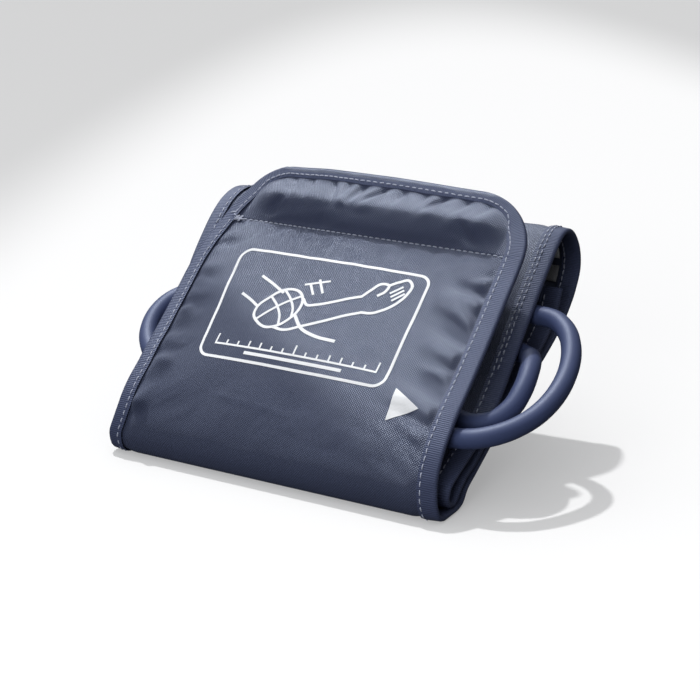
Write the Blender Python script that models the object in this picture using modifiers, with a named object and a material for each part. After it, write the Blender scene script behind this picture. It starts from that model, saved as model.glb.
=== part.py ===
"""Blood pressure cuff, rolled for storage, with its air hose wound into the roll.

The cuff is one long strip: an outer nylon cover, a lining, an air bladder
between them and a bound edge. It is rolled flat into four layers:

    layer 3  inner end, inside at the back
    layer 2  inside at the front, behind the printed panel
    layer 4  outside at the back
    layer 1  the printed front panel, with the rounded finger tab at its tip

Frame: +Z up, +X along the cuff's width, the front panel faces -Y, and the
origin is at the bottom centre of the roll. Units are metres.
"""
import math

import bmesh
import bpy
import numpy as np
from mathutils import Matrix, Vector

MM = 0.001

# ---------------------------------------------------------------- dimensions
HALF_FRONT = 72.5        # half width of the printed front panel
ROLL_LEFT = -76.5        # left edge of the rolled part
ROLL_RIGHT = 74.5        # right edge of the rolled part
PLY = 0.35               # cover and lining thickness
HALF_T = 1.15            # half thickness of the strip, at the binding and in the middle
BIND_W = 8.0             # width of the binding tape on each face
BIND_PLY = 0.35          # binding tape thickness
BLADDER_T = 0.9          # flat bladder thickness
HOSE_D = 8.0             # air hose diameter
SHIFT_X = 1.0            # moves the strip's box centre to the origin
SHIFT_Y = -61.06
HINGE_GAP = 3.0          # free fabric left between rigid pieces at the front hinge
SEAM_GAP = 2.8           # the same at the cross seam of the finger tab

# Profile of the strip's mid surface, (y, z) in mm, from the inner end to the
# tip. The roll is slightly conical, so its two ends have their own profiles.
PROFILE_RIGHT = [
    (106.0, 64.0), (102.5, 57.0), (96.5, 50.0), (87.0, 43.6), (71.5, 36.1), (52.0, 28.2),
    (38.0, 20.2), (27.5, 14.0), (19.2, 10.6), (15.4, 7.6), (12.6, 4.8), (8.6, 4.4), (6.0, 7.4),
    (7.4, 11.4), (14.0, 15.0), (28.0, 20.6), (42.0, 28.4), (53.0, 37.4), (61.5, 46.2), (69.0, 54.0),
    (76.0, 60.8), (84.0, 68.6), (92.6, 76.6), (100.0, 83.2), (106.6, 87.0), (113.4, 86.4), (119.2, 82.0),
    (123.2, 75.2), (123.9, 68.0), (120.6, 61.2), (110.0, 50.2), (94.6, 41.2), (73.0, 32.4), (53.5, 24.6),
    (39.5, 16.6), (29.0, 10.8), (21.0, 6.2), (17.6, 2.3), (13.4, 1.15), (8.0, 1.15), (3.2, 1.15),
    (0.0, 2.7), (-1.7, 7.0), (-0.6, 15.0), (4.7, 25.4), (14.0, 35.4), (28.6, 47.2), (43.6, 59.8),
    (57.6, 72.4), (70.6, 84.2), (79.4, 95.2), (87.0, 107.0)]
PROFILE_LEFT = [
    (96.5, 65.5), (93.6, 59.0), (88.6, 52.6), (80.0, 46.2), (66.5, 38.0), (50.5, 29.6),
    (37.2, 20.8), (27.0, 14.2), (18.9, 10.6), (15.2, 7.6), (12.6, 4.8), (8.6, 4.4), (6.0, 7.4),
    (7.4, 11.6), (13.0, 16.0), (22.5, 21.4), (31.0, 29.2), (37.5, 37.6), (43.5, 45.8), (49.0, 53.6),
    (54.4, 61.0), (60.6, 69.0), (67.8, 76.7), (75.0, 83.4), (83.2, 88.6), (92.2, 90.8), (101.4, 89.2),
    (109.0, 84.2), (112.4, 76.6), (111.0, 68.4), (101.5, 56.8), (87.0, 46.6), (69.0, 36.2), (52.0, 27.0),
    (39.0, 17.8), (28.6, 11.2), (21.0, 6.2), (17.6, 2.3), (13.4, 1.15), (8.0, 1.15), (3.2, 1.15),
    (0.0, 2.7), (-1.7, 7.0), (-0.6, 15.0), (4.7, 25.4), (14.0, 35.4), (28.6, 47.2), (43.6, 59.8),
    (57.6, 72.4), (70.6, 84.2), (79.4, 95.2), (87.0, 107.0)]

# Knot numbers along the profile
K_START = 0              # inner end of the strip
K_BLADDER_END = 26       # the bladder ends over the top fold
K_FOLD = 42              # front edge of the bottom fold, where the front panel hinges
K_SEAM = 49              # cross seam below the finger tab
K_TIP = 51

# Hose route, (x, y, z) in mm, in the strip's frame
PORT_X = -26.0           # where the port sits across the layer 2 cover
PORT_K = 17.0            # and how far along the profile
HOSE_ROUTE = [
    (8.0, 38.6, 40.9), (28.0, 36.4, 37.2), (48.0, 33.0, 33.6),
    (62.0, 30.4, 31.2), (72.0, 29.0, 30.0), (79.6, 31.2, 31.8), (84.6, 36.4, 36.2), (86.0, 43.6, 41.8), (84.8, 52.0, 46.6),
    (81.8, 60.4, 47.6), (75.8, 69.6, 46.0), (66.0, 73.0, 46.4), (52.0, 72.2, 47.4), (32.0, 69.4, 48.0),
    (8.0, 65.6, 48.4), (-18.0, 62.2, 48.2), (-40.0, 59.6, 48.0), (-50.0, 60.2, 50.4), (-60.0, 60.4, 54.0),
    (-69.3, 59.5, 54.2), (-77.1, 55.7, 52.6), (-82.4, 49.7, 49.5), (-84.2, 42.2, 45.2), (-82.4, 34.6, 40.5),
    (-77.1, 27.8, 36.1), (-69.3, 23.0, 32.6), (-60.0, 20.9, 30.6), (-48.0, 19.0, 28.8), (-26.0, 18.0, 28.4), (0.0, 17.2, 28.0), (28.0, 16.6, 27.8),
    (54.0, 16.2, 27.8), (70.0, 16.2, 28.2), (80.6, 17.6, 29.6), (89.0, 23.0, 32.0), (95.0, 32.0, 35.2),
    (98.4, 43.0, 39.8), (99.0, 54.0, 45.6), (96.6, 64.4, 51.8), (91.4, 72.8, 56.6), (83.6, 79.2, 59.0),
    (73.4, 82.4, 59.0), (58.0, 82.2, 58.6), (38.0, 79.8, 58.2), (18.0, 77.2, 58.0), (0.0, 74.8, 57.8)]


# ---------------------------------------------------------------- helpers
def clear_scene():
    for obj in list(bpy.data.objects):
        bpy.data.objects.remove(obj, do_unlink=True)


def spline(points, t):
    """Centripetal-like Catmull-Rom through points at knot numbers 0..n-1."""
    pts = np.asarray(points, float)
    n = len(pts)
    t = np.clip(np.atleast_1d(np.asarray(t, float)), 0.0, n - 1.0)
    i = np.minimum(t.astype(int), n - 2)
    f = (t - i)[:, None]
    p1, p2 = pts[i], pts[i + 1]
    p0 = np.where((i > 0)[:, None], pts[np.maximum(i - 1, 0)], 2 * p1 - p2)
    p3 = np.where((i < n - 2)[:, None], pts[np.minimum(i + 2, n - 1)], 2 * p2 - p1)
    d12 = np.linalg.norm(p2 - p1, axis=1, keepdims=True)
    d01 = np.linalg.norm(p1 - p0, axis=1, keepdims=True)
    d23 = np.linalg.norm(p3 - p2, axis=1, keepdims=True)
    v1 = (p1 - p0) / d01 + (p2 - p1) / d12 - (p2 - p0) / (d01 + d12)
    v2 = (p2 - p1) / d12 + (p3 - p2) / d23 - (p3 - p1) / (d12 + d23)
    m1, m2 = v1 * d12, v2 * d12
    f2, f3 = f * f, f * f * f
    return ((2 * f3 - 3 * f2 + 1) * p1 + (f3 - 2 * f2 + f) * m1
            + (-2 * f3 + 3 * f2) * p2 + (f3 - f2) * m2)


def profile_at(t, x):
    """Mid surface point and outward normal (y, z) at knot number t and width x."""
    w = (x - ROLL_LEFT) / (ROLL_RIGHT - ROLL_LEFT)
    h = 0.02
    t = np.atleast_1d(np.asarray(t, float))

    def at(u):
        q = (1 - w) * spline(PROFILE_LEFT, u) + w * spline(PROFILE_RIGHT, u)
        q[:, 1] = np.maximum(q[:, 1], HALF_T)       # the bottom fold is flat on the table
        return q

    p = at(t)
    d = at(np.minimum(t + h, len(PROFILE_LEFT) - 1)) - at(np.maximum(t - h, 0))
    d /= np.linalg.norm(d, axis=1, keepdims=True)
    return p, np.stack([-d[:, 1], d[:, 0]], axis=1)


def strip_point(t, x, n):
    """World point, in metres, n millimetres outside the mid surface."""
    p, nrm = profile_at(t, x)
    q = p[0] + nrm[0] * n
    return Vector(((x + SHIFT_X) * MM, (q[0] + SHIFT_Y) * MM, q[1] * MM))


def knot_after(t0, dist, step=0.002):
    """Knot number that lies dist millimetres along the strip after t0."""
    sign = 1.0 if dist > 0 else -1.0
    t = t0
    left = abs(dist)
    last = profile_at(t, 0.0)[0][0]
    while left > 0:
        t += sign * step
        here = profile_at(t, 0.0)[0][0]
        left -= float(np.linalg.norm(here - last))
        last = here
    return t


def stations(t0, t1, length_step, angle_step):
    """Knot numbers between t0 and t1, closer together where the strip bends."""
    t = np.linspace(t0, t1, 1200)
    p, nrm = profile_at(t, 0.0)
    ds = np.linalg.norm(np.diff(p, axis=0), axis=1)
    dots = np.clip((nrm[1:] * nrm[:-1]).sum(1), -1, 1)
    cost = np.concatenate([[0], np.cumsum(ds / length_step + np.degrees(np.arccos(dots)) / angle_step)])
    count = max(2, int(round(cost[-1])) + 1)
    return np.interp(np.linspace(0, cost[-1], count), cost, t)


def within(ts, t0, t1):
    """The stations of a ribbon that lie between two knot numbers."""
    return np.array([t for t in ts if t0 <= t <= t1])


def material(name, colour, rough, metallic=0.0):
    mat = bpy.data.materials.new(name)
    mat.use_nodes = True
    bsdf = mat.node_tree.nodes["Principled BSDF"]
    bsdf.inputs["Base Color"].default_value = (*colour, 1.0)
    bsdf.inputs["Roughness"].default_value = rough
    bsdf.inputs["Metallic"].default_value = metallic
    return mat


def add_object(name, mesh, mat, smooth=True):
    obj = bpy.data.objects.new(name, mesh)
    PARTS.objects.link(obj)
    mesh.materials.clear()
    mesh.materials.append(mat)
    if smooth:
        mesh.shade_smooth()
        mesh.set_sharp_from_angle(angle=math.radians(40))
    return obj


def grid_mesh(name, rows, cols, place):
    """A grid whose vertices are placed by a function of (row, column)."""
    bm = bmesh.new()
    bmesh.ops.create_grid(bm, x_segments=cols - 1, y_segments=rows - 1, size=1.0)
    bm.verts.ensure_lookup_table()
    xs = sorted({round(v.co.x, 5) for v in bm.verts})
    ys = sorted({round(v.co.y, 5) for v in bm.verts})
    for v in bm.verts:
        v.co = place(ys.index(round(v.co.y, 5)), xs.index(round(v.co.x, 5)))
    mesh = bpy.data.meshes.new(name)
    bm.to_mesh(mesh)
    bm.free()
    return mesh


def ribbon(name, ts, columns, thickness, mat):
    """Strip of cloth: columns is a list of (x, n) across the width."""
    def place(r, c):
        x, n = columns[c](ts[r]) if callable(columns[c]) else columns[c]
        return strip_point(ts[r], x, n)
    mesh = grid_mesh(name, len(ts), len(columns), place)
    obj = add_object(name, mesh, mat)
    solid = obj.modifiers.new("Thickness", 'SOLIDIFY')
    solid.thickness = thickness * MM
    solid.offset = 0.0
    solid.use_even_offset = True
    return obj


def evaluated_mesh(obj):
    deps = bpy.context.evaluated_depsgraph_get()
    deps.update()
    mesh = bpy.data.meshes.new_from_object(obj.evaluated_get(deps))
    bm = bmesh.new()
    bm.from_mesh(mesh)
    bmesh.ops.remove_doubles(bm, verts=bm.verts, dist=0.00002)
    bmesh.ops.recalc_face_normals(bm, faces=bm.faces)
    bm.to_mesh(mesh)
    bm.free()
    return mesh


def tube(name, points, diameter, mat, sides=2, closed=False):
    """Round tube along points in metres."""
    curve = bpy.data.curves.new(name, 'CURVE')
    curve.dimensions = '3D'
    curve.bevel_depth = diameter / 2 * MM
    curve.bevel_resolution = sides
    curve.use_fill_caps = not closed
    line = curve.splines.new('POLY')
    line.points.add(len(points) - 1)
    for pt, co in zip(line.points, points):
        pt.co = (*co, 1.0)
    line.use_cyclic_u = closed
    obj = bpy.data.objects.new(name, curve)
    PARTS.objects.link(obj)
    curve.materials.append(mat)
    return obj


def cutter(obj):
    for coll in list(obj.users_collection):
        coll.objects.unlink(obj)
    CUTTERS.objects.link(obj)
    obj.hide_render = True
    obj.display_type = 'WIRE'
    return obj


def boolean(obj, other, operation):
    mod = obj.modifiers.new("Boolean", 'BOOLEAN')
    mod.operation = operation
    mod.object = other
    mod.solver = 'EXACT'
    return mod


def cylinder_mesh(name, radius, depth, segments=32):
    bm = bmesh.new()
    bmesh.ops.create_cone(bm, cap_ends=True, segments=segments, radius1=radius * MM,
                          radius2=radius * MM, depth=depth * MM)
    mesh = bpy.data.meshes.new(name)
    bm.to_mesh(mesh)
    bm.free()
    return mesh


def turned(name, outline, mat, steps=28):
    """Solid of revolution about Z from (radius, z) points in mm, top to bottom."""
    mesh = bpy.data.meshes.new(name)
    mesh.from_pydata([(r * MM, 0.0, z * MM) for r, z in outline],
                     [(i, i + 1) for i in range(len(outline) - 1)], [])
    obj = add_object(name, mesh, mat)
    screw = obj.modifiers.new("Turn", 'SCREW')
    screw.axis = 'Z'
    screw.steps = steps
    screw.render_steps = steps
    screw.use_merge_vertices = True
    screw.merge_threshold = 0.00001
    return obj


def across(half_left, half_right, side):
    """Columns of a cloth ply: pinched inside the binding, full between."""
    pinch = side * (0.15 + PLY / 2)
    full = side * (HALF_T - PLY / 2)
    return [(half_left + 0.8, pinch), (half_left + BIND_W + 0.5, pinch),
            (half_left + BIND_W + 4.0, full), (half_right - BIND_W - 4.0, full),
            (half_right - BIND_W - 0.5, pinch), (half_right - 0.8, pinch)]


def binding_columns(edge, inward):
    """Columns of the tape, wrapped round an edge at x = edge."""
    m = HALF_T - BIND_PLY / 2
    h = BIND_PLY / 2
    return [(edge + inward * BIND_W, m), (edge + inward * 1.2, m), (edge + inward * (h + 0.25), 0.55),
            (edge + inward * (h + 0.25), -0.55), (edge + inward * 1.2, -m), (edge + inward * BIND_W, -m)]


# ---------------------------------------------------------------- build
clear_scene()
PARTS = bpy.data.collections.new("blood_pressure_cuff")
CUTTERS = bpy.data.collections.new("cutters")
bpy.context.scene.collection.children.link(PARTS)
bpy.context.scene.collection.children.link(CUTTERS)

NYLON = material("nylon_cover", (0.085, 0.105, 0.175), 0.5)
LINING = material("nylon_lining", (0.045, 0.055, 0.1), 0.7)
TAPE = material("binding_tape", (0.07, 0.088, 0.15), 0.6)
BLADDER = material("bladder_film", (0.12, 0.12, 0.12), 0.45)
PILE = material("loop_pile", (0.035, 0.045, 0.085), 0.95)
HOOKS = material("hook_tape", (0.03, 0.035, 0.06), 0.8)
HOSE = material("hose_rubber", (0.06, 0.075, 0.16), 0.38)
PLASTIC = material("port_plastic", (0.05, 0.06, 0.11), 0.4)
GREY = material("plug_plastic", (0.55, 0.56, 0.58), 0.4)
SEAL = material("seal_rubber", (0.02, 0.02, 0.02), 0.6)
INK = material("print_white", (0.8, 0.81, 0.84), 0.6)
GREY_WOVEN = material("grey_label", (0.36, 0.36, 0.37), 0.8)
LABEL = material("woven_label", (0.75, 0.76, 0.76), 0.8)

T_FOLD = knot_after(K_FOLD, -HINGE_GAP / 2)
T_FRONT = knot_after(K_FOLD, HINGE_GAP / 2)
T_SEAM_LOW = knot_after(K_SEAM, -SEAM_GAP / 2)
T_SEAM_HIGH = knot_after(K_SEAM, SEAM_GAP / 2)

# --- the rolled part: cover, lining, bladder, bindings
EXTRA = [1.2, K_BLADDER_END, 27.1, 28.0, 28.4, 29.0, 29.6, 33.6]
roll_ts = stations(K_START + 0.02, T_FOLD, 17.0, 20.0)
roll_ts = np.array(sorted([t for t in roll_ts if min(abs(t - e) for e in EXTRA) > 0.12] + EXTRA))
cover_roll = ribbon("cover_roll", roll_ts, across(ROLL_LEFT, ROLL_RIGHT, +1), PLY, NYLON)
lining_roll = ribbon("lining_roll", roll_ts, across(ROLL_LEFT, ROLL_RIGHT, -1), PLY, LINING)
for side, edge, inward in (("left", ROLL_LEFT, 1), ("right", ROLL_RIGHT, -1)):
    ribbon("binding_roll_" + side, roll_ts, binding_columns(edge, inward), BIND_PLY, TAPE)

bladder_ts = within(roll_ts, 1.2, K_BLADDER_END)
ribbon("air_bladder", bladder_ts, [(ROLL_LEFT + 14.0, 0.0), (ROLL_RIGHT - 14.0, 0.0)], BLADDER_T, BLADDER)

# --- front panel
front_ts = stations(T_FRONT, T_SEAM_LOW, 14.0, 12.0)
ribbon("cover_front", front_ts, across(-HALF_FRONT, HALF_FRONT, +1), PLY, NYLON)
ribbon("lining_front", front_ts, across(-HALF_FRONT, HALF_FRONT, -1), PLY, LINING)
for side, edge, inward in (("left", -HALF_FRONT, 1), ("right", HALF_FRONT, -1)):
    ribbon("binding_front_" + side, front_ts, binding_columns(edge, inward), BIND_PLY, TAPE)

# artery mark: a triangle transferred on to the cover, pointing at the hose side
mark_t = [knot_after(K_FOLD, 27.9), knot_after(K_FOLD, 41.1)]
mark_mid = 0.5 * (mark_t[0] + mark_t[1])
bm = bmesh.new()
mark_corners = [strip_point(mark_t[0], 45.5, HALF_T + 0.45), strip_point(mark_mid, 57.4, HALF_T + 0.45),
                strip_point(mark_t[1], 45.5, HALF_T + 0.45)]
bm.faces.new([bm.verts.new(co) for co in mark_corners])
mesh = bpy.data.meshes.new("artery_mark")
bm.to_mesh(mesh)
bm.free()
mark = add_object("artery_mark", mesh, INK, smooth=False)
solid = mark.modifiers.new("Thickness", 'SOLIDIFY')
solid.thickness = 0.2 * MM
solid.offset = 0.0

# hook patch on the lining side of the front panel
hook_ts = within(front_ts, knot_after(K_SEAM, -66.0), knot_after(K_SEAM, -3.0))
ribbon("hook_patch", hook_ts, [(-56.0, -HALF_T - 0.3 - 0.4), (56.0, -HALF_T - 0.3 - 0.4)], 0.8, HOOKS)

# loop patch on the outer face of the back layer
loop_ts = within(roll_ts, 29.6, 33.6)
ribbon("loop_patch", loop_ts, [(ROLL_LEFT + 13.0, HALF_T + 0.3 + 0.5), (ROLL_RIGHT - 13.0, HALF_T + 0.3 + 0.5)],
       1.0, PILE)

# --- finger tab: two plies and a binding that runs round its rounded corners
TAB_LEN = 26.6           # from the seam to the tip
CORNER_R = 25.0


def tab_outline(inset, count=7):
    """Half width x and distance d from the seam, right side up and over to the left."""
    r = CORNER_R - inset
    cx, cy = HALF_FRONT - CORNER_R, TAB_LEN - CORNER_R
    right = [(HALF_FRONT - inset, SEAM_GAP / 2)]
    arc = [(cx + r * math.cos(a), cy + r * math.sin(a)) for a in np.linspace(0, math.pi / 2, count)]
    pts = right + arc
    return pts + [(-x, d) for x, d in reversed(pts)]


def tab_point(x, d, n):
    """Point on the tab's plane: d mm past the seam, n mm outside."""
    p0, n0 = profile_at(K_SEAM, 0.0)
    p1 = np.array(PROFILE_RIGHT[K_TIP])
    along = (p1 - p0[0]) / np.linalg.norm(p1 - p0[0])
    nrm = np.array([-along[1], along[0]])
    q = p0[0] + along * d + nrm * n
    return Vector(((x + SHIFT_X) * MM, (q[0] + SHIFT_Y) * MM, q[1] * MM))


def tab_ply(name, side, mat):
    pinch = side * (0.15 + PLY / 2)
    full = side * (HALF_T - PLY / 2)
    rings = [tab_outline(0.8), tab_outline(BIND_W + 0.5), tab_outline(BIND_W + 4.0)]
    offs = [pinch, pinch, full]
    bm = bmesh.new()
    loops = [[bm.verts.new(tab_point(x, d, n)) for x, d in ring] for ring, n in zip(rings, offs)]
    for a, b in zip(loops[:-1], loops[1:]):
        for i in range(len(a) - 1):
            bm.faces.new((a[i], a[i + 1], b[i + 1], b[i]))
    inner = loops[-1]
    for i in range(len(inner) // 2 - 1):
        j = len(inner) - 1 - i
        bm.faces.new((inner[i], inner[i + 1], inner[j - 1], inner[j]))
    bmesh.ops.recalc_face_normals(bm, faces=bm.faces)
    mesh = bpy.data.meshes.new(name)
    bm.to_mesh(mesh)
    bm.free()
    obj = add_object(name, mesh, mat)
    solid = obj.modifiers.new("Thickness", 'SOLIDIFY')
    solid.thickness = PLY * MM
    solid.offset = 0.0
    return obj


tab_ply("cover_tab", +1, NYLON)
tab_ply("lining_tab", -1, LINING)
m_tape = HALF_T - BIND_PLY / 2
h_tape = BIND_PLY / 2 + 0.25
tab_section = [(BIND_W, m_tape), (1.2, m_tape), (h_tape, 0.55), (h_tape, -0.55), (1.2, -m_tape), (BIND_W, -m_tape)]
tab_rows = len(tab_outline(0.0))
mesh = grid_mesh("binding_tab", tab_rows, len(tab_section),
                 lambda r, c: tab_point(*tab_outline(tab_section[c][0])[r], tab_section[c][1]))
binding_tab = add_object("binding_tab", mesh, TAPE)
solid = binding_tab.modifiers.new("Thickness", 'SOLIDIFY')
solid.thickness = BIND_PLY * MM
solid.offset = 0.0

# --- binding over the strip's inner end
N_END = HALF_T + 0.3 + BIND_PLY / 2
end_section = [(7.0, N_END), (0.5, N_END), (-0.9, 0.9), (-0.9, -0.9), (0.5, -N_END), (7.0, -N_END)]
end_x = np.linspace(ROLL_LEFT + BIND_W + 0.9, ROLL_RIGHT - BIND_W - 0.9, 3)


def end_point(r, c):
    back, n = end_section[c]
    t = roll_ts[0] if back <= 0 else knot_after(roll_ts[0], back)
    p, nrm = profile_at(t, end_x[r])
    q = p[0] + nrm[0] * n
    if back < 0:
        q = q + np.array([nrm[0][1], -nrm[0][0]]) * back
    return Vector(((end_x[r] + SHIFT_X) * MM, (q[0] + SHIFT_Y) * MM, q[1] * MM))


binding_end = add_object("binding_inner_end", grid_mesh("binding_inner_end", 3, 6, end_point), TAPE)
solid = binding_end.modifiers.new("Thickness", 'SOLIDIFY')
solid.thickness = BIND_PLY * MM
solid.offset = 0.0

# --- sewn labels on the lining of the back layer, just inside the opening
for name, k0, k1, x0, mat in (("care_label", 26.4, 27.5, 20.0, LABEL), ("grey_label", 28.0, 29.0, 28.0, GREY_WOVEN)):
    ts = within(roll_ts, k0, k1)
    ribbon(name, ts, [(x0, -HALF_T - 0.3 - 0.2), (ROLL_RIGHT - BIND_W - 0.7, -HALF_T - 0.3 - 0.2)], 0.3, mat)

# --- air port: elbow with its flange, through a hole in the cover
port_o = strip_point(PORT_K, PORT_X, 0.0)
port_x = (strip_point(PORT_K, PORT_X + 10.0, 0.0) - strip_point(PORT_K, PORT_X - 10.0, 0.0)).normalized()
_, port_nrm = profile_at(PORT_K, PORT_X)
port_z = Vector((0.0, port_nrm[0][0], port_nrm[0][1]))
port_z = (port_z - port_x * port_z.dot(port_x)).normalized()
port_y = port_z.cross(port_x)
PORT_FRAME = Matrix((( port_x.x, port_y.x, port_z.x, port_o.x),
                     ( port_x.y, port_y.y, port_z.y, port_o.y),
                     ( port_x.z, port_y.z, port_z.z, port_o.z),
                     ( 0.0, 0.0, 0.0, 1.0)))
AXIS_N = 8.0             # height of the spigot's axis over the strip's mid surface
SPIGOT_END = 8.7


def port_cylinder(name, radius, n0, n1, coll=None, segments=32):
    mesh = cylinder_mesh(name, radius, n1 - n0, segments)
    obj = bpy.data.objects.new(name, mesh)
    (coll or PARTS).objects.link(obj)
    obj.matrix_world = PORT_FRAME @ Matrix.Translation((0, 0, (n0 + n1) / 2 * MM))
    return obj


tube_port = port_cylinder("tube_port", 8.0, 2.8, 3.85)
tube_port.data.materials.append(PLASTIC)
tube_port.data.shade_smooth()
tube_port.data.set_sharp_from_angle(angle=math.radians(40))
stem = cutter(port_cylinder("stem_tool", 3.4, 0.75, AXIS_N + 0.4, CUTTERS))
boolean(tube_port, stem, 'UNION')
spigot = bpy.data.objects.new("spigot_tool", cylinder_mesh("spigot_tool", 4.3, SPIGOT_END + 3.6, 32))
CUTTERS.objects.link(spigot)
cutter(spigot)
spigot.matrix_world = (PORT_FRAME @ Matrix.Translation(((SPIGOT_END - 3.6) / 2 * MM, 0, AXIS_N * MM))
                       @ Matrix.Rotation(math.radians(90), 4, 'Y'))
boolean(tube_port, spigot, 'UNION')

washer = port_cylinder("port_grommet", 9.2, 2.0, 2.5)
washer.data.materials.append(TAPE)
bore = cutter(port_cylinder("grommet_bore_tool", 4.4, 0.9, 3.2, CUTTERS))
boolean(washer, bore, 'DIFFERENCE')
hole = cutter(port_cylinder("cover_hole_tool", 4.2, 0.62, 1.8, CUTTERS, 24))
boolean(cover_roll, hole, 'DIFFERENCE')

# --- air hose, wound twice round the inner front layer
leave = [tuple(PORT_FRAME @ Vector((x * MM, 0.0, AXIS_N * MM)) / MM) for x in (SPIGOT_END + 0.3, SPIGOT_END + 10.0)]
route = leave + [(x + SHIFT_X, y + SHIFT_Y, z) for x, y, z in HOSE_ROUTE]
dense = spline(route, np.linspace(0, len(route) - 1, 1500))
run = np.concatenate([[0], np.cumsum(np.linalg.norm(np.diff(dense, axis=0), axis=1))])
HOSE_POINTS = 78
hose_pts = np.stack([np.interp(np.linspace(0, run[-1], HOSE_POINTS), run, dense[:, k]) for k in range(3)], 1)
hose = tube("air_hose", [Vector(p) * MM for p in hose_pts], HOSE_D, HOSE, sides=2)

# --- air plug on the hose's far end
tail = Vector(hose_pts[-1] - hose_pts[-2]).normalized()
PLUG_FRAME = Matrix.Translation(Vector(hose_pts[-1]) * MM) @ tail.to_track_quat('Z', 'Y').to_matrix().to_4x4()


def on_plug(obj):
    obj.matrix_world = PLUG_FRAME
    return obj


on_plug(turned("plug_collar", [(0.0, 14.3), (4.6, 14.3), (5.2, 13.7), (5.2, 11.0), (4.7, 10.4), (4.7, 2.0),
                               (4.2, 0.3), (0.0, 0.3)], PLASTIC, 24))
on_plug(turned("plug_body", [(0.0, 40.0), (1.9, 40.0), (2.6, 39.2), (2.6, 37.2), (2.2, 36.9), (2.2, 35.1),
                             (2.6, 34.8), (2.6, 32.0), (4.3, 31.6), (4.6, 31.0), (4.6, 27.0), (5.4, 26.2),
                             (5.4, 16.2), (4.8, 14.6), (0.0, 14.6)], GREY, 24))
seal_pts = [(2.5 + 0.75 + 0.75 * math.cos(a), 36.0 + 0.75 * math.sin(a))
            for a in np.linspace(math.pi / 2, math.pi / 2 - 2 * math.pi, 11)]
on_plug(turned("plug_seal", seal_pts, SEAL, 24))
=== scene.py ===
"""Blood pressure cuff, rolled for storage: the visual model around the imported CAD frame.

The cloth is made on the same strip surface as the CAD solids. Lengths are in
millimetres in the strip's frame and become metres in the row frame in place().
"""
import math

import bmesh
import bpy
import numpy as np
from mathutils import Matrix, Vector


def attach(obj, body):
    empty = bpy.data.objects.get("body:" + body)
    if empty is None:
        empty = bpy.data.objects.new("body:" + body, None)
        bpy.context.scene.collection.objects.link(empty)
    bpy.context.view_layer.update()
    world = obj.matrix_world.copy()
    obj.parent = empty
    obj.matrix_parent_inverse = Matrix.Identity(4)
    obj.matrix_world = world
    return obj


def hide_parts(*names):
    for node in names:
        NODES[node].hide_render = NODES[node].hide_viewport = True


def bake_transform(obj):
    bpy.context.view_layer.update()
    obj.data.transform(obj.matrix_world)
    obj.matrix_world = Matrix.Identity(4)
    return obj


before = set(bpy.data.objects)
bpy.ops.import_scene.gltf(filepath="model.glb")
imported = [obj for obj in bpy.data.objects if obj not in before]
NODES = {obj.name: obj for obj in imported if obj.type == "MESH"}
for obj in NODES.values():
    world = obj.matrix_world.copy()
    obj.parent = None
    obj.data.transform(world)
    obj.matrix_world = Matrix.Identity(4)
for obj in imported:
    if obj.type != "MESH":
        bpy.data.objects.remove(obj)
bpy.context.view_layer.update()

MM = 0.001
SHIFT = np.array([1.0, -61.06, 0.0])
HALF_FRONT, ROLL_L, ROLL_R = 72.5, -76.5, 74.5
HALF_T = 1.15            # half thickness of the strip
BIND_W = 8.0             # binding tape on each face
TAPE = 0.35              # binding tape thickness
TAB_LEN, CORNER_R = 26.2, 25.0

RIGHT = [
    (106.0, 64.0), (102.5, 57.0), (96.5, 50.0), (87.0, 43.6), (71.5, 36.1), (52.0, 28.2),
    (38.0, 20.2), (27.5, 14.0), (19.2, 10.6), (15.4, 7.6), (12.6, 4.8), (8.6, 4.4), (6.0, 7.4),
    (7.4, 11.4), (14.0, 15.0), (28.0, 20.6), (42.0, 28.4), (53.0, 37.4), (61.5, 46.2), (69.0, 54.0),
    (76.0, 60.8), (84.0, 68.6), (92.6, 76.6), (100.0, 83.2), (106.6, 87.0), (113.4, 86.4), (119.2, 82.0),
    (123.2, 75.2), (123.9, 68.0), (120.6, 61.2), (110.0, 50.2), (94.6, 41.2), (73.0, 32.4), (53.5, 24.6),
    (39.5, 16.6), (29.0, 10.8), (21.0, 6.2), (17.6, 2.3), (13.4, 1.15), (8.0, 1.15), (3.2, 1.15),
    (0.0, 2.7), (-1.7, 7.0), (-0.6, 15.0), (4.7, 25.4), (14.0, 35.4), (28.6, 47.2), (43.6, 59.8),
    (57.6, 72.4), (70.6, 84.2), (79.4, 95.2), (87.0, 107.0)]
LEFT = [
    (96.5, 65.5), (93.6, 59.0), (88.6, 52.6), (80.0, 46.2), (66.5, 38.0), (50.5, 29.6),
    (37.2, 20.8), (27.0, 14.2), (18.9, 10.6), (15.2, 7.6), (12.6, 4.8), (8.6, 4.4), (6.0, 7.4),
    (7.4, 11.6), (13.0, 16.0), (22.5, 21.4), (31.0, 29.2), (37.5, 37.6), (43.5, 45.8), (49.0, 53.6),
    (54.4, 61.0), (60.6, 69.0), (67.8, 76.7), (75.0, 83.4), (83.2, 88.6), (92.2, 90.8), (101.4, 89.2),
    (109.0, 84.2), (112.4, 76.6), (111.0, 68.4), (101.5, 56.8), (87.0, 46.6), (69.0, 36.2), (52.0, 27.0),
    (39.0, 17.8), (28.6, 11.2), (21.0, 6.2), (17.6, 2.3), (13.4, 1.15), (8.0, 1.15), (3.2, 1.15),
    (0.0, 2.7), (-1.7, 7.0), (-0.6, 15.0), (4.7, 25.4), (14.0, 35.4), (28.6, 47.2), (43.6, 59.8),
    (57.6, 72.4), (70.6, 84.2), (79.4, 95.2), (87.0, 107.0)]
K_SPLIT, K_FOLD, K_SEAM, K_TIP = 31.0, 42.0, 49.0, 51.0

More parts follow.
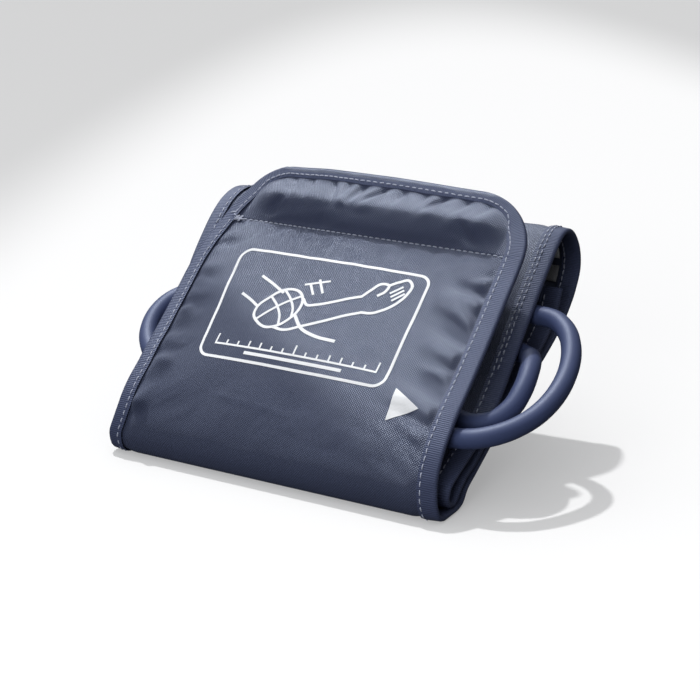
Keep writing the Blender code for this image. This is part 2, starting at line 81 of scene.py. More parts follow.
PORT_X, PORT_K, SPIGOT_END, AXIS_N = -26.0, 17.0, 8.7, 8.0
HOSE_ROUTE = [
    (8.0, 38.6, 40.9), (28.0, 36.4, 37.2), (48.0, 33.0, 33.6),
    (62.0, 30.4, 31.2), (72.0, 29.0, 30.0), (79.6, 31.2, 31.8), (84.6, 36.4, 36.2), (86.0, 43.6, 41.8), (84.8, 52.0, 46.6),
    (81.8, 60.4, 47.6), (75.8, 69.6, 46.0), (66.0, 73.0, 46.4), (52.0, 72.2, 47.4), (32.0, 69.4, 48.0),
    (8.0, 65.6, 48.4), (-18.0, 62.2, 48.2), (-40.0, 59.6, 48.0), (-50.0, 60.2, 50.4), (-60.0, 60.4, 54.0),
    (-69.3, 59.5, 54.2), (-77.1, 55.7, 52.6), (-82.4, 49.7, 49.5), (-84.2, 42.2, 45.2), (-82.4, 34.6, 40.5),
    (-77.1, 27.8, 36.1), (-69.3, 23.0, 32.6), (-60.0, 20.9, 30.6), (-48.0, 19.0, 28.8), (-26.0, 18.0, 28.4), (0.0, 17.2, 28.0), (28.0, 16.6, 27.8),
    (54.0, 16.2, 27.8), (70.0, 16.2, 28.2), (80.6, 17.6, 29.6), (89.0, 23.0, 32.0), (95.0, 32.0, 35.2),
    (98.4, 43.0, 39.8), (99.0, 54.0, 45.6), (96.6, 64.4, 51.8), (91.4, 72.8, 56.6), (83.6, 79.2, 59.0),
    (73.4, 82.4, 59.0), (58.0, 82.2, 58.6), (38.0, 79.8, 58.2), (18.0, 77.2, 58.0), (0.0, 74.8, 57.8)]


# ------------------------------------------------------------------ the strip's surface
def spline(points, t):
    pts = np.asarray(points, float)
    n = len(pts)
    t = np.clip(np.atleast_1d(np.asarray(t, float)), 0.0, n - 1.0)
    i = np.minimum(t.astype(int), n - 2)
    f = (t - i)[:, None]
    p1, p2 = pts[i], pts[i + 1]
    p0 = np.where((i > 0)[:, None], pts[np.maximum(i - 1, 0)], 2 * p1 - p2)
    p3 = np.where((i < n - 2)[:, None], pts[np.minimum(i + 2, n - 1)], 2 * p2 - p1)
    d12 = np.linalg.norm(p2 - p1, axis=1, keepdims=True)
    d01 = np.linalg.norm(p1 - p0, axis=1, keepdims=True)
    d23 = np.linalg.norm(p3 - p2, axis=1, keepdims=True)
    v1 = (p1 - p0) / d01 + (p2 - p1) / d12 - (p2 - p0) / (d01 + d12)
    v2 = (p2 - p1) / d12 + (p3 - p2) / d23 - (p3 - p1) / (d12 + d23)
    m1, m2 = v1 * d12, v2 * d12
    f2, f3 = f * f, f * f * f
    return ((2 * f3 - 3 * f2 + 1) * p1 + (f3 - 2 * f2 + f) * m1
            + (-2 * f3 + 3 * f2) * p2 + (f3 - f2) * m2)


TT = np.linspace(0, K_TIP, 5101)
SPL_L, SPL_R = spline(LEFT, TT), spline(RIGHT, TT)


def mid(t, x):
    t, x = np.broadcast_arrays(np.asarray(t, float), np.asarray(x, float))
    w = ((x - ROLL_L) / (ROLL_R - ROLL_L))[..., None]
    left = np.stack([np.interp(t, TT, SPL_L[:, k]) for k in (0, 1)], -1)
    right = np.stack([np.interp(t, TT, SPL_R[:, k]) for k in (0, 1)], -1)
    q = (1 - w) * left + w * right
    q[..., 1] = np.maximum(q[..., 1], HALF_T)
    return q


def normal2(t, x):
    h = 0.12
    d = mid(np.minimum(np.asarray(t) + h, K_TIP), x) - mid(np.maximum(np.asarray(t) - h, 0), x)
    d = d / np.linalg.norm(d, axis=-1, keepdims=True)
    return np.stack([-d[..., 1], d[..., 0]], -1)


def lean_in(past, x):
    """The finger tab's outline is not quite straight: new x, and a small rise along the strip."""
    shift = np.interp(past, [-118, -106, -92, -75, -30, -22, -13, -5, 2, 8, 15, 22, 30],
                      [0, -2.4, -1.6, 0, 0, 0.4, 1.7, 3.7, 5.9, 7.9, 9.2, 9.0, 8.2])
    rise = 1.35 * smooth(58.0, 0.0, x) * (1 - 0.7 * smooth(-24.0, -50.0, x)) * smooth(6.0, 26.0, past)
    return x + shift * smooth(-4.0, -58.0, x), rise


def place(t, x, n):
    """Row-frame point, in metres, n mm outside the strip's mid surface."""
    t, x, n = np.broadcast_arrays(np.asarray(t, float), np.asarray(x, float), np.asarray(n, float))
    rise = 0.0 * x
    if ARC is not None:
        x, rise = lean_in(np.interp(t, TT, ARC) - ARC_SEAM, x)
    up = normal2(t, x)
    along = np.stack([up[..., 1], -up[..., 0]], -1)
    q = mid(t, x) + up * n[..., None] + along * rise[..., None]
    return (np.stack([x, q[..., 0], q[..., 1]], -1) + SHIFT) * MM


ARC = None
_m = mid(TT, 0.0)
ARC = np.concatenate([[0], np.cumsum(np.linalg.norm(np.diff(_m, axis=0), axis=1))])


def t_of(s):
    return np.interp(s, ARC, TT)


def s_of(t):
    return float(np.interp(t, TT, ARC))


S_SPLIT, S_FOLD, S_SEAM = s_of(K_SPLIT), s_of(K_FOLD), s_of(K_SEAM)
ARC_SEAM = S_SEAM


def smooth(a, b, v):
    f = np.clip((np.asarray(v, float) - a) / (b - a), 0, 1)
    return f * f * (3 - 2 * f)


def edge_x(s, side):
    """x of the strip's left (-1) or right (+1) edge at length s."""
    w = smooth(s_of(39.5), s_of(43.6), s)
    return (1 - w) * (ROLL_L if side < 0 else ROLL_R) + w * side * HALF_FRONT


def noise(x, y, seed, octaves=3):
    """Smooth value noise, from -1 to 1, the same on every run."""
    total, amp, norm = 0.0, 1.0, 0.0
    x, y = np.broadcast_arrays(np.asarray(x, float), np.asarray(y, float))
    for k in range(octaves):
        rng = np.random.RandomState(seed + 17 * k)
        table = rng.uniform(-1, 1, (64, 64))
        xi, yi = np.floor(x).astype(int), np.floor(y).astype(int)
        fx, fy = x - xi, y - yi
        fx, fy = fx * fx * (3 - 2 * fx), fy * fy * (3 - 2 * fy)
        a, b = table[xi % 64, yi % 64], table[(xi + 1) % 64, yi % 64]
        c, d = table[xi % 64, (yi + 1) % 64], table[(xi + 1) % 64, (yi + 1) % 64]
        total = total + amp * ((a * (1 - fx) + b * fx) * (1 - fy) + (c * (1 - fx) + d * fx) * fy)
        norm += amp
        amp *= 0.5
        x, y = x * 2.03 + 5.1, y * 2.03 + 9.7
    return total / norm


# ------------------------------------------------------------------ camera
AZ, EL, DIST = math.radians(30.0), math.radians(18.5), 0.67117
TARGET = Vector((23.82 + SHIFT[0], 20.0 + SHIFT[1], 54.04)) * MM
cam_data = bpy.data.cameras.new("camera")
cam_data.lens = 90.0
cam_data.sensor_width = 36.0
cam_data.clip_start = 0.01
cam = bpy.data.objects.new("camera", cam_data)
bpy.context.scene.collection.objects.link(cam)
away = Vector((math.sin(AZ) * math.cos(EL), -math.cos(AZ) * math.cos(EL), math.sin(EL)))
cam.location = TARGET + away * DIST
cam.rotation_euler = (-away).to_track_quat('-Z', 'Y').to_euler()
bpy.context.scene.camera = cam


# ------------------------------------------------------------------ materials
def new_material(name):
    mat = bpy.data.materials.new(name)
    mat.use_nodes = True
    nt = mat.node_tree
    return mat, nt, nt.nodes["Principled BSDF"]


def node(nt, kind, **values):
    n = nt.nodes.new(kind)
    for key, val in values.items():
        if key.startswith("in_"):
            n.inputs[key[3:].replace("_", " ")].default_value = val
        else:
            setattr(n, key, val)
    return n


def math_node(nt, op, a, b=None, c=None):
    n = nt.nodes.new("ShaderNodeMath")
    n.operation = op
    for i, v in enumerate((a, b, c)):
        if v is None:
            continue
        if isinstance(v, (int, float)):
            n.inputs[i].default_value = v
        else:
            nt.links.new(v, n.inputs[i])
    return n.outputs[0]


def uv_axes(nt):
    uv = node(nt, "ShaderNodeTexCoord")
    sep = node(nt, "ShaderNodeSeparateXYZ")
    nt.links.new(uv.outputs["UV"], sep.inputs[0])
    return uv.outputs["UV"], sep.outputs[0], sep.outputs[1]


def wave(nt, coord, period):
    """Sine of a length in mm, from 0 to 1."""
    return math_node(nt, 'ADD', math_node(nt, 'MULTIPLY', math_node(nt, 'SINE', math_node(nt, 'MULTIPLY', coord, 2 * math.pi / period)), 0.5), 0.5)


def ramp(nt, fac, stops):
    n = node(nt, "ShaderNodeValToRGB")
    els = n.color_ramp.elements
    while len(els) < len(stops):
        els.new(0.5)
    for e, (pos, col) in zip(els, stops):
        e.position = pos
        e.color = (*col, 1.0)
    nt.links.new(fac, n.inputs[0])
    return n.outputs[0]


def mapped_noise(nt, vector, scale, detail=3.0, rough=0.5):
    n = node(nt, "ShaderNodeTexNoise")
    n.inputs["Scale"].default_value = scale
    n.inputs["Detail"].default_value = detail
    n.inputs["Roughness"].default_value = rough
    nt.links.new(vector, n.inputs["Vector"])
    return n.outputs["Fac"]


def bump(nt, bsdf, height, strength, distance):
    b = node(nt, "ShaderNodeBump")
    b.inputs["Strength"].default_value = strength
    b.inputs["Distance"].default_value = distance
    nt.links.new(height, b.inputs["Height"])
    nt.links.new(b.outputs[0], bsdf.inputs["Normal"])


def scaled(col, k):
    return tuple(c * k for c in col)


def nylon(name, col, rough, sheen, pitch=0.95, weave=0.6, spec=0.5, dull_shaded_zones=None):
    """Woven nylon: a basket weave of crossing yarns, in mm on the UV map."""
    mat, nt, bsdf = new_material(name)
    uv, u, v = uv_axes(nt)
    turn = mapped_noise(nt, uv, 0.25, 2.0)
    drift = math_node(nt, 'MULTIPLY', turn, 0.5)
    a = wave(nt, math_node(nt, 'ADD', u, drift), pitch)
    b = wave(nt, math_node(nt, 'ADD', v, drift), pitch)
    checks = math_node(nt, 'ABSOLUTE', math_node(nt, 'SUBTRACT', a, b))
    yarn = math_node(nt, 'MULTIPLY', wave(nt, u, pitch * 0.25), wave(nt, v, pitch * 0.25))
    grain = mapped_noise(nt, uv, 1.1, 3.0, 0.6)
    soft = mapped_noise(nt, uv, 0.035, 2.0)
    height = math_node(nt, 'ADD', math_node(nt, 'ADD', checks, math_node(nt, 'MULTIPLY', yarn, 0.2)),
                       math_node(nt, 'MULTIPLY', grain, 0.4))
    shade = math_node(nt, 'ADD', math_node(nt, 'MULTIPLY', checks, 0.55),
                      math_node(nt, 'ADD', math_node(nt, 'MULTIPLY', grain, 0.35), math_node(nt, 'MULTIPLY', soft, 0.15)))
    r = math_node(nt, 'ADD', math_node(nt, 'MULTIPLY', grain, 0.16), rough - 0.08)
    if dull_shaded_zones:
        # the turns inside the roll and the low part of the front panel below a slanting line are rougher,
        # and their colour is darkened there as painted shade; both are measured along the strip
        def span(value, a, b, low=0.0, high=1.0):
            m = node(nt, "ShaderNodeMapRange")
            m.interpolation_type = 'SMOOTHSTEP'
            nt.links.new(value, m.inputs["Value"])
            m.inputs["From Min"].default_value = a
            m.inputs["From Max"].default_value = b
            m.inputs["To Min"].default_value = low
            m.inputs["To Max"].default_value = high
            return m.outputs["Result"]
        inner0, inner1, fold_s, line_s = dull_shaded_zones
        slant = math_node(nt, 'ADD', v, math_node(nt, 'MULTIPLY', u, 0.62))
        above = span(slant, line_s - 13.0, line_s + 13.0)
        behind = span(v, fold_s - 14.0, fold_s - 2.0, 1.0, 0.0)
        glossy_unshaded = math_node(nt, 'MULTIPLY', math_node(nt, 'MAXIMUM', above, behind), span(v, inner0, inner1))
        r = math_node(nt, 'ADD', r, math_node(nt, 'MULTIPLY_ADD', glossy_unshaded, -0.50, 0.50))
        # painted shade: the base colour is darker where the cloth is rough, on the inner turns and the low front panel
        shade = math_node(nt, 'ADD', shade, math_node(nt, 'MULTIPLY_ADD', glossy_unshaded, 0.10, -0.10))
    colour = ramp(nt, shade, [(0.16, scaled(col, 0.66)), (0.48, col), (0.82, scaled(col, 1.45))])
    nt.links.new(colour, bsdf.inputs["Base Color"])
    nt.links.new(r, bsdf.inputs["Roughness"])
    bsdf.inputs["Sheen Weight"].default_value = sheen
    bsdf.inputs["Sheen Roughness"].default_value = 0.35
    bsdf.inputs["Sheen Tint"].default_value = (0.72, 0.78, 1.0, 1.0)
    bsdf.inputs["Specular IOR Level"].default_value = spec
    bsdf.inputs["Specular Tint"].default_value = (0.74, 0.82, 1.0, 1.0)
    bump(nt, bsdf, height, weave, 0.00018)
    return mat


def grosgrain(name, col, rough):
    """Ribbed binding tape: fine ribs across its length, which is V."""
    mat, nt, bsdf = new_material(name)
    uv, u, v = uv_axes(nt)
    ribs = wave(nt, v, 0.80)
    warp = wave(nt, u, 0.34)
    grain = mapped_noise(nt, uv, 1.4, 3.0, 0.6)
    soft = mapped_noise(nt, uv, 0.12, 2.0)
    height = math_node(nt, 'ADD', math_node(nt, 'ADD', ribs, math_node(nt, 'MULTIPLY', warp, 0.2)),
                       math_node(nt, 'MULTIPLY', grain, 0.4))
    shade = math_node(nt, 'ADD', math_node(nt, 'MULTIPLY', ribs, 0.55),
                      math_node(nt, 'ADD', math_node(nt, 'MULTIPLY', grain, 0.3), math_node(nt, 'MULTIPLY', soft, 0.15)))
    nt.links.new(ramp(nt, shade, [(0.15, scaled(col, 0.72)), (0.5, col), (0.85, scaled(col, 1.32))]), bsdf.inputs["Base Color"])
    r = math_node(nt, 'ADD', math_node(nt, 'MULTIPLY', grain, 0.15), rough - 0.07)
    nt.links.new(r, bsdf.inputs["Roughness"])
    bsdf.inputs["Specular IOR Level"].default_value = 0.32
    bsdf.inputs["Specular Tint"].default_value = (0.66, 0.76, 1.0, 1.0)
    bsdf.inputs["Sheen Weight"].default_value = 0.0
    bsdf.inputs["Sheen Roughness"].default_value = 0.4
    bsdf.inputs["Sheen Tint"].default_value = (0.72, 0.78, 1.0, 1.0)
    bump(nt, bsdf, height, 0.7, 0.00015)
    return mat


def thread_material(name, col):
    mat, nt, bsdf = new_material(name)
    tc = node(nt, "ShaderNodeTexCoord")
    grain = mapped_noise(nt, tc.outputs["Object"], 2600.0, 2.0)
    nt.links.new(ramp(nt, grain, [(0.25, scaled(col, 0.7)), (0.75, scaled(col, 1.2))]), bsdf.inputs["Base Color"])
    bsdf.inputs["Roughness"].default_value = 0.55
    bsdf.inputs["Sheen Weight"].default_value = 0.2
    bump(nt, bsdf, grain, 0.4, 0.0001)
    return mat


def print_material(name, col):
    """Transfer print that lets the weave show through a little."""
    mat, nt, bsdf = new_material(name)
    uv, u, v = uv_axes(nt)
    a = wave(nt, math_node(nt, 'ADD', u, v), 1.05)
    b = wave(nt, math_node(nt, 'SUBTRACT', u, v), 1.05)
    checks = math_node(nt, 'ABSOLUTE', math_node(nt, 'SUBTRACT', a, b))
    grain = mapped_noise(nt, uv, 1.2, 3.0, 0.6)
    fac = math_node(nt, 'ADD', math_node(nt, 'MULTIPLY', checks, 0.5), math_node(nt, 'MULTIPLY', grain, 0.5))
    nt.links.new(ramp(nt, fac, [(0.1, scaled(col, 0.86)), (0.6, col)]), bsdf.inputs["Base Color"])
    bsdf.inputs["Roughness"].default_value = 0.55
    bump(nt, bsdf, fac, 0.35, 0.0001)
    return mat


def rubber(name, col, rough, coat=0.0):
    mat, nt, bsdf = new_material(name)
    tc = node(nt, "ShaderNodeTexCoord")
    soft = mapped_noise(nt, tc.outputs["Object"], 38.0, 3.0)
    fine = mapped_noise(nt, tc.outputs["Object"], 900.0, 3.0, 0.6)
    nt.links.new(ramp(nt, soft, [(0.2, scaled(col, 0.9)), (0.8, scaled(col, 1.1))]), bsdf.inputs["Base Color"])
    r = math_node(nt, 'ADD', math_node(nt, 'MULTIPLY', fine, 0.1), rough - 0.05)
    nt.links.new(r, bsdf.inputs["Roughness"])
    bsdf.inputs["Coat Weight"].default_value = coat
    bsdf.inputs["Coat Roughness"].default_value = 0.35
    bsdf.inputs["Specular IOR Level"].default_value = 0.3
    bsdf.inputs["Specular Tint"].default_value = (0.80, 0.87, 1.0, 1.0)
    bump(nt, bsdf, fine, 0.12, 0.0001)
    return mat


def pile(name, col, scale, strength, distance):
    """Brushed loops or a field of hooks."""
    mat, nt, bsdf = new_material(name)
    tc = node(nt, "ShaderNodeTexCoord")
    fuzz = mapped_noise(nt, tc.outputs["Object"], scale, 4.0, 0.7)
    vor = node(nt, "ShaderNodeTexVoronoi")
    vor.inputs["Scale"].default_value = scale * 0.9
    nt.links.new(tc.outputs["Object"], vor.inputs["Vector"])
    height = math_node(nt, 'ADD', math_node(nt, 'MULTIPLY', vor.outputs["Distance"], 0.8), fuzz)
    nt.links.new(ramp(nt, fuzz, [(0.3, scaled(col, 0.55)), (0.7, scaled(col, 1.5))]), bsdf.inputs["Base Color"])
    bsdf.inputs["Roughness"].default_value = 0.9
    bsdf.inputs["Sheen Weight"].default_value = 0.25
    bsdf.inputs["Sheen Tint"].default_value = (0.45, 0.55, 1.0, 1.0)
    bsdf.inputs["Specular IOR Level"].default_value = 0.3
    bsdf.inputs["Specular Tint"].default_value = (0.60, 0.72, 1.0, 1.0)
    bump(nt, bsdf, height, strength, distance)
    return mat


NAVY = (0.043, 0.052, 0.096)
# the last argument sets where the cloth is rougher and its colour darkened as painted shade: the inner turns and the
# low front panel
M_NYLON = nylon("nylon_cover", NAVY, 0.41, 0.0, 1.0, 1.0, 0.9, (s_of(19.5), s_of(23.5), S_FOLD, S_SEAM - 63.0))
M_LINING = nylon("nylon_lining", (0.030, 0.037, 0.064), 0.6, 0.05, 0.6, 0.4)
M_TAPE = grosgrain("binding_tape", (0.047, 0.057, 0.108), 0.5)
M_THREAD = thread_material("sewing_thread", (0.38, 0.41, 0.52))
M_PATCH_THREAD = thread_material("patch_thread", (0.050, 0.060, 0.108))
M_PRINT = print_material("print_white", (0.78, 0.79, 0.81))
M_HOSE = rubber("hose_rubber", (0.047, 0.063, 0.142), 0.52, 0.0)
M_PORT = rubber("port_plastic", (0.045, 0.055, 0.11), 0.38)
M_PLUG = rubber("plug_plastic", (0.50, 0.51, 0.53), 0.35)
M_SEAL = rubber("seal_rubber", (0.018, 0.018, 0.018), 0.5)
M_LOOP = pile("loop_pile", (0.040, 0.049, 0.094), 1500.0, 0.7, 0.0003)
M_HOOK = pile("hook_tape", (0.018, 0.021, 0.036), 1100.0, 1.0, 0.0008)
M_LABEL = nylon("woven_label", (0.62, 0.63, 0.62), 0.7, 0.1, 0.5, 0.4)
M_GREY = nylon("grey_label", (0.26, 0.26, 0.27), 0.7, 0.1, 0.9, 1.0)
M_FILM = rubber("bladder_film", (0.1, 0.1, 0.1), 0.4)


# ------------------------------------------------------------------ mesh helpers
def make_object(name, verts, faces, mats, face_mats=None, uv=None, smooth_shade=True, closed=True):
    mesh = bpy.data.meshes.new(name)
    mesh.from_pydata([tuple(v) for v in verts], [], faces)
    for m in mats:
        mesh.materials.append(m)
    if face_mats is not None:
        mesh.polygons.foreach_set("material_index", np.asarray(face_mats, np.int32))
    if uv is not None:
        layer = mesh.uv_layers.new(name="cloth")
        idx = np.zeros(len(mesh.loops), np.int32)
        mesh.loops.foreach_get("vertex_index", idx)
        layer.data.foreach_set("uv", np.asarray(uv, np.float32)[idx].ravel())
    if closed:
        bm = bmesh.new()
        bm.from_mesh(mesh)
        bmesh.ops.recalc_face_normals(bm, faces=bm.faces)
        bm.to_mesh(mesh)
        bm.free()
    if smooth_shade:
        mesh.shade_smooth()
    obj = bpy.data.objects.new(name, mesh)
    bpy.context.scene.collection.objects.link(obj)
    return obj


def thick_sheet(name, outer, inner, uv, mats):
    """Closed cloth from an outer and an inner grid of the same size."""
    rows, cols = outer.shape[:2]
    n = rows * cols
    verts = np.concatenate([outer.reshape(-1, 3), inner.reshape(-1, 3)])
    faces, which = [], []
    for r in range(rows - 1):
        for c in range(cols - 1):
            a = r * cols + c
            faces.append((a, a + 1, a + cols + 1, a + cols))
            which.append(0)
            faces.append((n + a, n + a + cols, n + a + cols + 1, n + a + 1))
            which.append(1)
    rim = ([(0, c) for c in range(cols - 1)] + [(r, cols - 1) for r in range(rows - 1)]
           + [(rows - 1, c) for c in range(cols - 1, 0, -1)] + [(r, 0) for r in range(rows - 1, 0, -1)])
    ids = [r * cols + c for r, c in rim]
    for a, b in zip(ids, ids[1:] + ids[:1]):
        faces.append((b, a, n + a, n + b))
        which.append(1)
    uvs = np.concatenate([uv.reshape(-1, 2), uv.reshape(-1, 2)])
    obj = make_object(name, verts, faces, mats, which, uvs, closed=False)
    return obj


def sweep(name, sections, along, around, mat):
    """Closed band from sections (rows, points, 3); each section is a closed loop."""
    rows, k = sections.shape[:2]
    verts = sections.reshape(-1, 3)
    faces = []
    for r in range(rows - 1):
        for c in range(k):
            d = (c + 1) % k
            faces.append((r * k + c, r * k + d, (r + 1) * k + d, (r + 1) * k + c))
    faces.append(tuple(range(k - 1, -1, -1)))
    faces.append(tuple((rows - 1) * k + c for c in range(k)))
    uv = np.stack(np.broadcast_arrays(np.asarray(around)[None, :], np.asarray(along)[:, None]), -1).reshape(-1, 2)
    obj = make_object(name, verts, faces, [mat], None, uv)
    obj.data.set_sharp_from_angle(angle=math.radians(60))
    return obj


def stitches(name, items, radius=0.27, mat=None):
    """Sewing stitches: items are (middle, along, up) in metres and unit vectors, with a length in mm."""
    ring = 6
    prof = [(-1.0, 0.0, -0.9), (-0.86, 0.72, -0.45), (-0.4, 1.0, 0.1), (0.4, 1.0, 0.1), (0.86, 0.72, -0.45), (1.0, 0.0, -0.9)]
    verts, faces = [], []
    for p, a, u, length in items:
        p, a, u = np.asarray(p), np.asarray(a), np.asarray(u)
        w = np.cross(a, u)
        base = len(verts)
        counts = []
        for f, rad, lift in prof:
            c = p + a * (f * length / 2 * MM) + u * (lift * radius * MM)
            start = len(verts)
            if rad == 0.0:
                verts.append(c)
                counts.append((start, 1))
            else:
                for i in range(ring):
                    ang = 2 * math.pi * i / ring
                    verts.append(c + (u * math.cos(ang) + w * math.sin(ang)) * (rad * radius * MM))
                counts.append((start, ring))
        for (s0, n0), (s1, n1) in zip(counts[:-1], counts[1:]):
            for i in range(ring):
                j = (i + 1) % ring
                if n0 == 1:
                    faces.append((s0, s1 + i, s1 + j))
                elif n1 == 1:
                    faces.append((s0 + i, s1, s0 + j))
                else:
                    faces.append((s0 + i, s1 + i, s1 + j, s0 + j))
    return make_object(name, verts, faces, [mat or M_THREAD])


def dash_line(point, q0, q1, pitch=3.0, length=2.35, seed=3, wander=0.14):
    """Stitches along a curve point(q) -> (position, up), q in mm."""
    rng = np.random.RandomState(seed)
    out = []
    q = q0 + pitch * 0.5
    while q < q1 - pitch * 0.5:
        qa, qb = q - length / 2, q + length / 2
        a, _ = point(qa)
        b, _ = point(qb)
        m, up = point(q)
        along = (b - a) / np.linalg.norm(b - a)
        side = np.cross(along, up)
        along = along + side * rng.uniform(-wander, wander)
        along = along / np.linalg.norm(along)
        up = up - along * float(np.dot(up, along))
        up = up / np.linalg.norm(up)
        out.append((m, along, up, length * rng.uniform(0.9, 1.08)))
        q += pitch * rng.uniform(0.96, 1.04)
    return out


# ------------------------------------------------------------------ shape of the cloth
def rim_depth(x, d):
    """Distance in mm from the finger tab's outline, d mm past the seam."""
    cx, cy = HALF_FRONT - CORNER_R, TAB_LEN - CORNER_R
    ax = np.abs(x)
    corner = CORNER_R - np.hypot(np.maximum(ax - cx, 0), np.maximum(d - cy, 0))
    return np.minimum(corner, np.minimum(HALF_FRONT - ax, TAB_LEN - d))


def tab_half(d):
    """Half width of the tab d mm past the seam."""
    cx, cy = HALF_FRONT - CORNER_R, TAB_LEN - CORNER_R
    e = np.clip(d - cy, 0, CORNER_R)
    return cx + np.sqrt(np.maximum(CORNER_R ** 2 - e ** 2, 0))


def tape_width(x, s):
    """Visible width of the binding: narrower over the tip than along the sides."""
    x, s = np.broadcast_arrays(np.asarray(x, float), np.asarray(s, float))
    past = s - S_SEAM
    side = 6.6 + 1.4 * smooth(-20, 20, x)
    top = smooth(-9, 7, (HALF_FRONT - np.abs(x)) - (TAB_LEN - past)) * (past > 0)
    return side * (1 - top) + 5.0 * top


COLS = 141
U = np.linspace(0, 1, COLS)
ROW_STEP = 1.1
rows_wrap = np.linspace(S_SPLIT, S_SEAM, int(round((S_SEAM - S_SPLIT) / ROW_STEP)) + 1)
rows_tab = S_SEAM + np.linspace(0, TAB_LEN - 0.7, 27)

xw = edge_x(rows_wrap, -1)[:, None] + 0.7 + (edge_x(rows_wrap, +1) - edge_x(rows_wrap, -1) - 1.4)[:, None] * U[None, :]
sw = np.broadcast_to(rows_wrap[:, None], xw.shape)
half = tab_half(rows_tab - S_SEAM)
xt = (-(half - 0.7))[:, None] + 2 * (half - 0.7)[:, None] * U[None, :]
st = np.broadcast_to(rows_tab[:, None], xt.shape)


def crease(x, s, x0, s0, dx, ds, length, depth, wide, ridge):
    """A fold that starts at (x0, s0 past the seam) and dies out along (dx, ds)."""
    n = math.hypot(dx, ds)
    dx, ds = dx / n, ds / n
    px, ps = x - x0, (s - S_SEAM) - s0
    along = px * dx + ps * ds
    perp = -px * ds + ps * dx
    perp = perp + 0.012 * along * along * (1 if ridge > 0 else -1) * 0.5
    fade = smooth(-3.0, 2.0, along) * (1 - smooth(length * 0.35, length, along))
    wide = wide * (1 + 0.6 * np.clip(along / length, 0, 1))
    valley = -depth * np.exp(-(perp / wide) ** 2)
    crest = abs(ridge) * (np.exp(-((perp - 2.1 * wide) / (1.3 * wide)) ** 2) + 0.5 * np.exp(-((perp + 2.1 * wide) / (1.3 * wide)) ** 2))
    return fade * (valley + crest)


def puckers(s, x):
    """Folds and dimples that the seams pull into the front cloth."""
    past = s - S_SEAM
    out = 0.0 * x
    # right binding
    for x0, s0, dx, ds, length, depth, wide, ridge in (
            (65.0, -19.5, -1.0, 0.10, 27, 1.15, 2.6, 0.8), (66.0, -30.0, -1.0, 0.45, 17, 0.55, 1.5, 0.4),
            (65.5, -42.0, -1.0, 0.30, 30, 1.3, 3.2, 0.9), (65.5, -54.5, -1.0, 0.15, 16, 0.42, 1.6, 0.4),
            (65.5, -67.0, -1.0, 0.28, 27, 1.1, 3.0, 0.8), (66.0, -80.0, -1.0, 0.2, 16, 0.5, 1.8, 0.4),
            (65.0, -9.0, -1.0, -0.35, 15, 0.6, 1.5, 0.4)):
        out = out + crease(x, s, x0, s0, dx, ds, length, depth, wide, ridge)
    # left binding
    for x0, s0, dx, ds, length, depth, wide, ridge in (
            (-66.0, -14.0, 1.0, 0.1, 14, 0.5, 1.6, 0.4), (-66.0, -30.0, 1.0, -0.1, 15, 0.42, 1.8, 0.4),
            (-66.0, -44.5, 1.0, -0.2, 17, 0.62, 2.2, 0.7), (-66.0, -57.5, 1.0, -0.1, 11, 0.25, 1.9, 0.3),
            (-66.0, -68.5, 1.0, -0.15, 17, 0.65, 2.4, 0.7), (-66.0, -83.0, 1.0, 0.05, 11, 0.28, 1.9, 0.3),
            (-66.5, -97.0, 1.0, 0.1, 12, 0.5, 2.2, 0.6)):
        out = out + crease(x, s, x0, s0, dx, ds, length, depth, wide, ridge)
    for x0, s0, wx, ws, amp in ((-61.8, -48.4, 3.6, 3.0, 1.3), (-59.6, -73.6, 4.2, 3.2, 1.3), (-63.2, -93.0, 3.8, 3.4, 1.3)):
        out = out + amp * np.exp(-((x - x0) / wx) ** 2 - ((past - s0) / ws) ** 2)
    # below the cross seam
    wander = 3.0 * noise(x / 17.0, 0 * x, 71, 2)
    below = np.exp(-np.clip(-past, 0, None) / 9.0) * smooth(0.4, 4.0, -past) * smooth(8, 20, HALF_FRONT - np.abs(x))
    out = out + below * (0.42 * np.sin((x + wander) * 2 * math.pi / 12.5) + 0.3 * noise(x / 7.0, s / 30.0, 73))
    # soft crease low on the panel
    out = out + 0.32 * np.exp(-((past + 84.6 + 0.07 * (x + 15)) / 1.3) ** 2) * smooth(-36, -24, x) * (1 - smooth(-10, 12, x))
    # finger tab: gathers under the top binding
    for x0, lean, depth, wide in ((-47, 0.5, 0.5, 1.6), (-36, 0.3, 0.5, 1.5), (-22, 0.6, 0.95, 1.8), (-13, -0.1, 0.5, 1.5), (-5, -0.35, 1.0, 2.0),
                                  (5.5, -0.9, 0.95, 1.8), (14, -0.3, 0.5, 1.5), (24, -0.2, 0.7, 1.7), (33, -0.8, 1.1, 1.9),
                                  (43, -0.5, 0.7, 1.7), (53, -0.4, 0.6, 1.7)):
        perp = x - x0 - lean * (21.0 - past)
        fold = -depth * np.exp(-(perp / wide) ** 2) + 0.55 * depth * np.exp(-((perp - 2.4 * wide) / (1.2 * wide)) ** 2)
        out = out + fold * smooth(7.0, 18.5, past)
    # and a few over the cross seam
    for x0, lean, depth, wide in ((-52, 0.6, 0.5, 2.2), (52, -0.8, 0.7, 2.4), (60, -0.4, 0.4, 1.8)):
        perp = x - x0 - lean * past
        out = out - depth * np.exp(-(perp / wide) ** 2) * smooth(0.5, 4.0, past) * (1 - smooth(8, 15, past))
    out = out + 0.28 * noise(x / 13.0, s / 16.0, 75) + 0.12 * noise(x / 5.0, s / 6.0, 76)
    return out


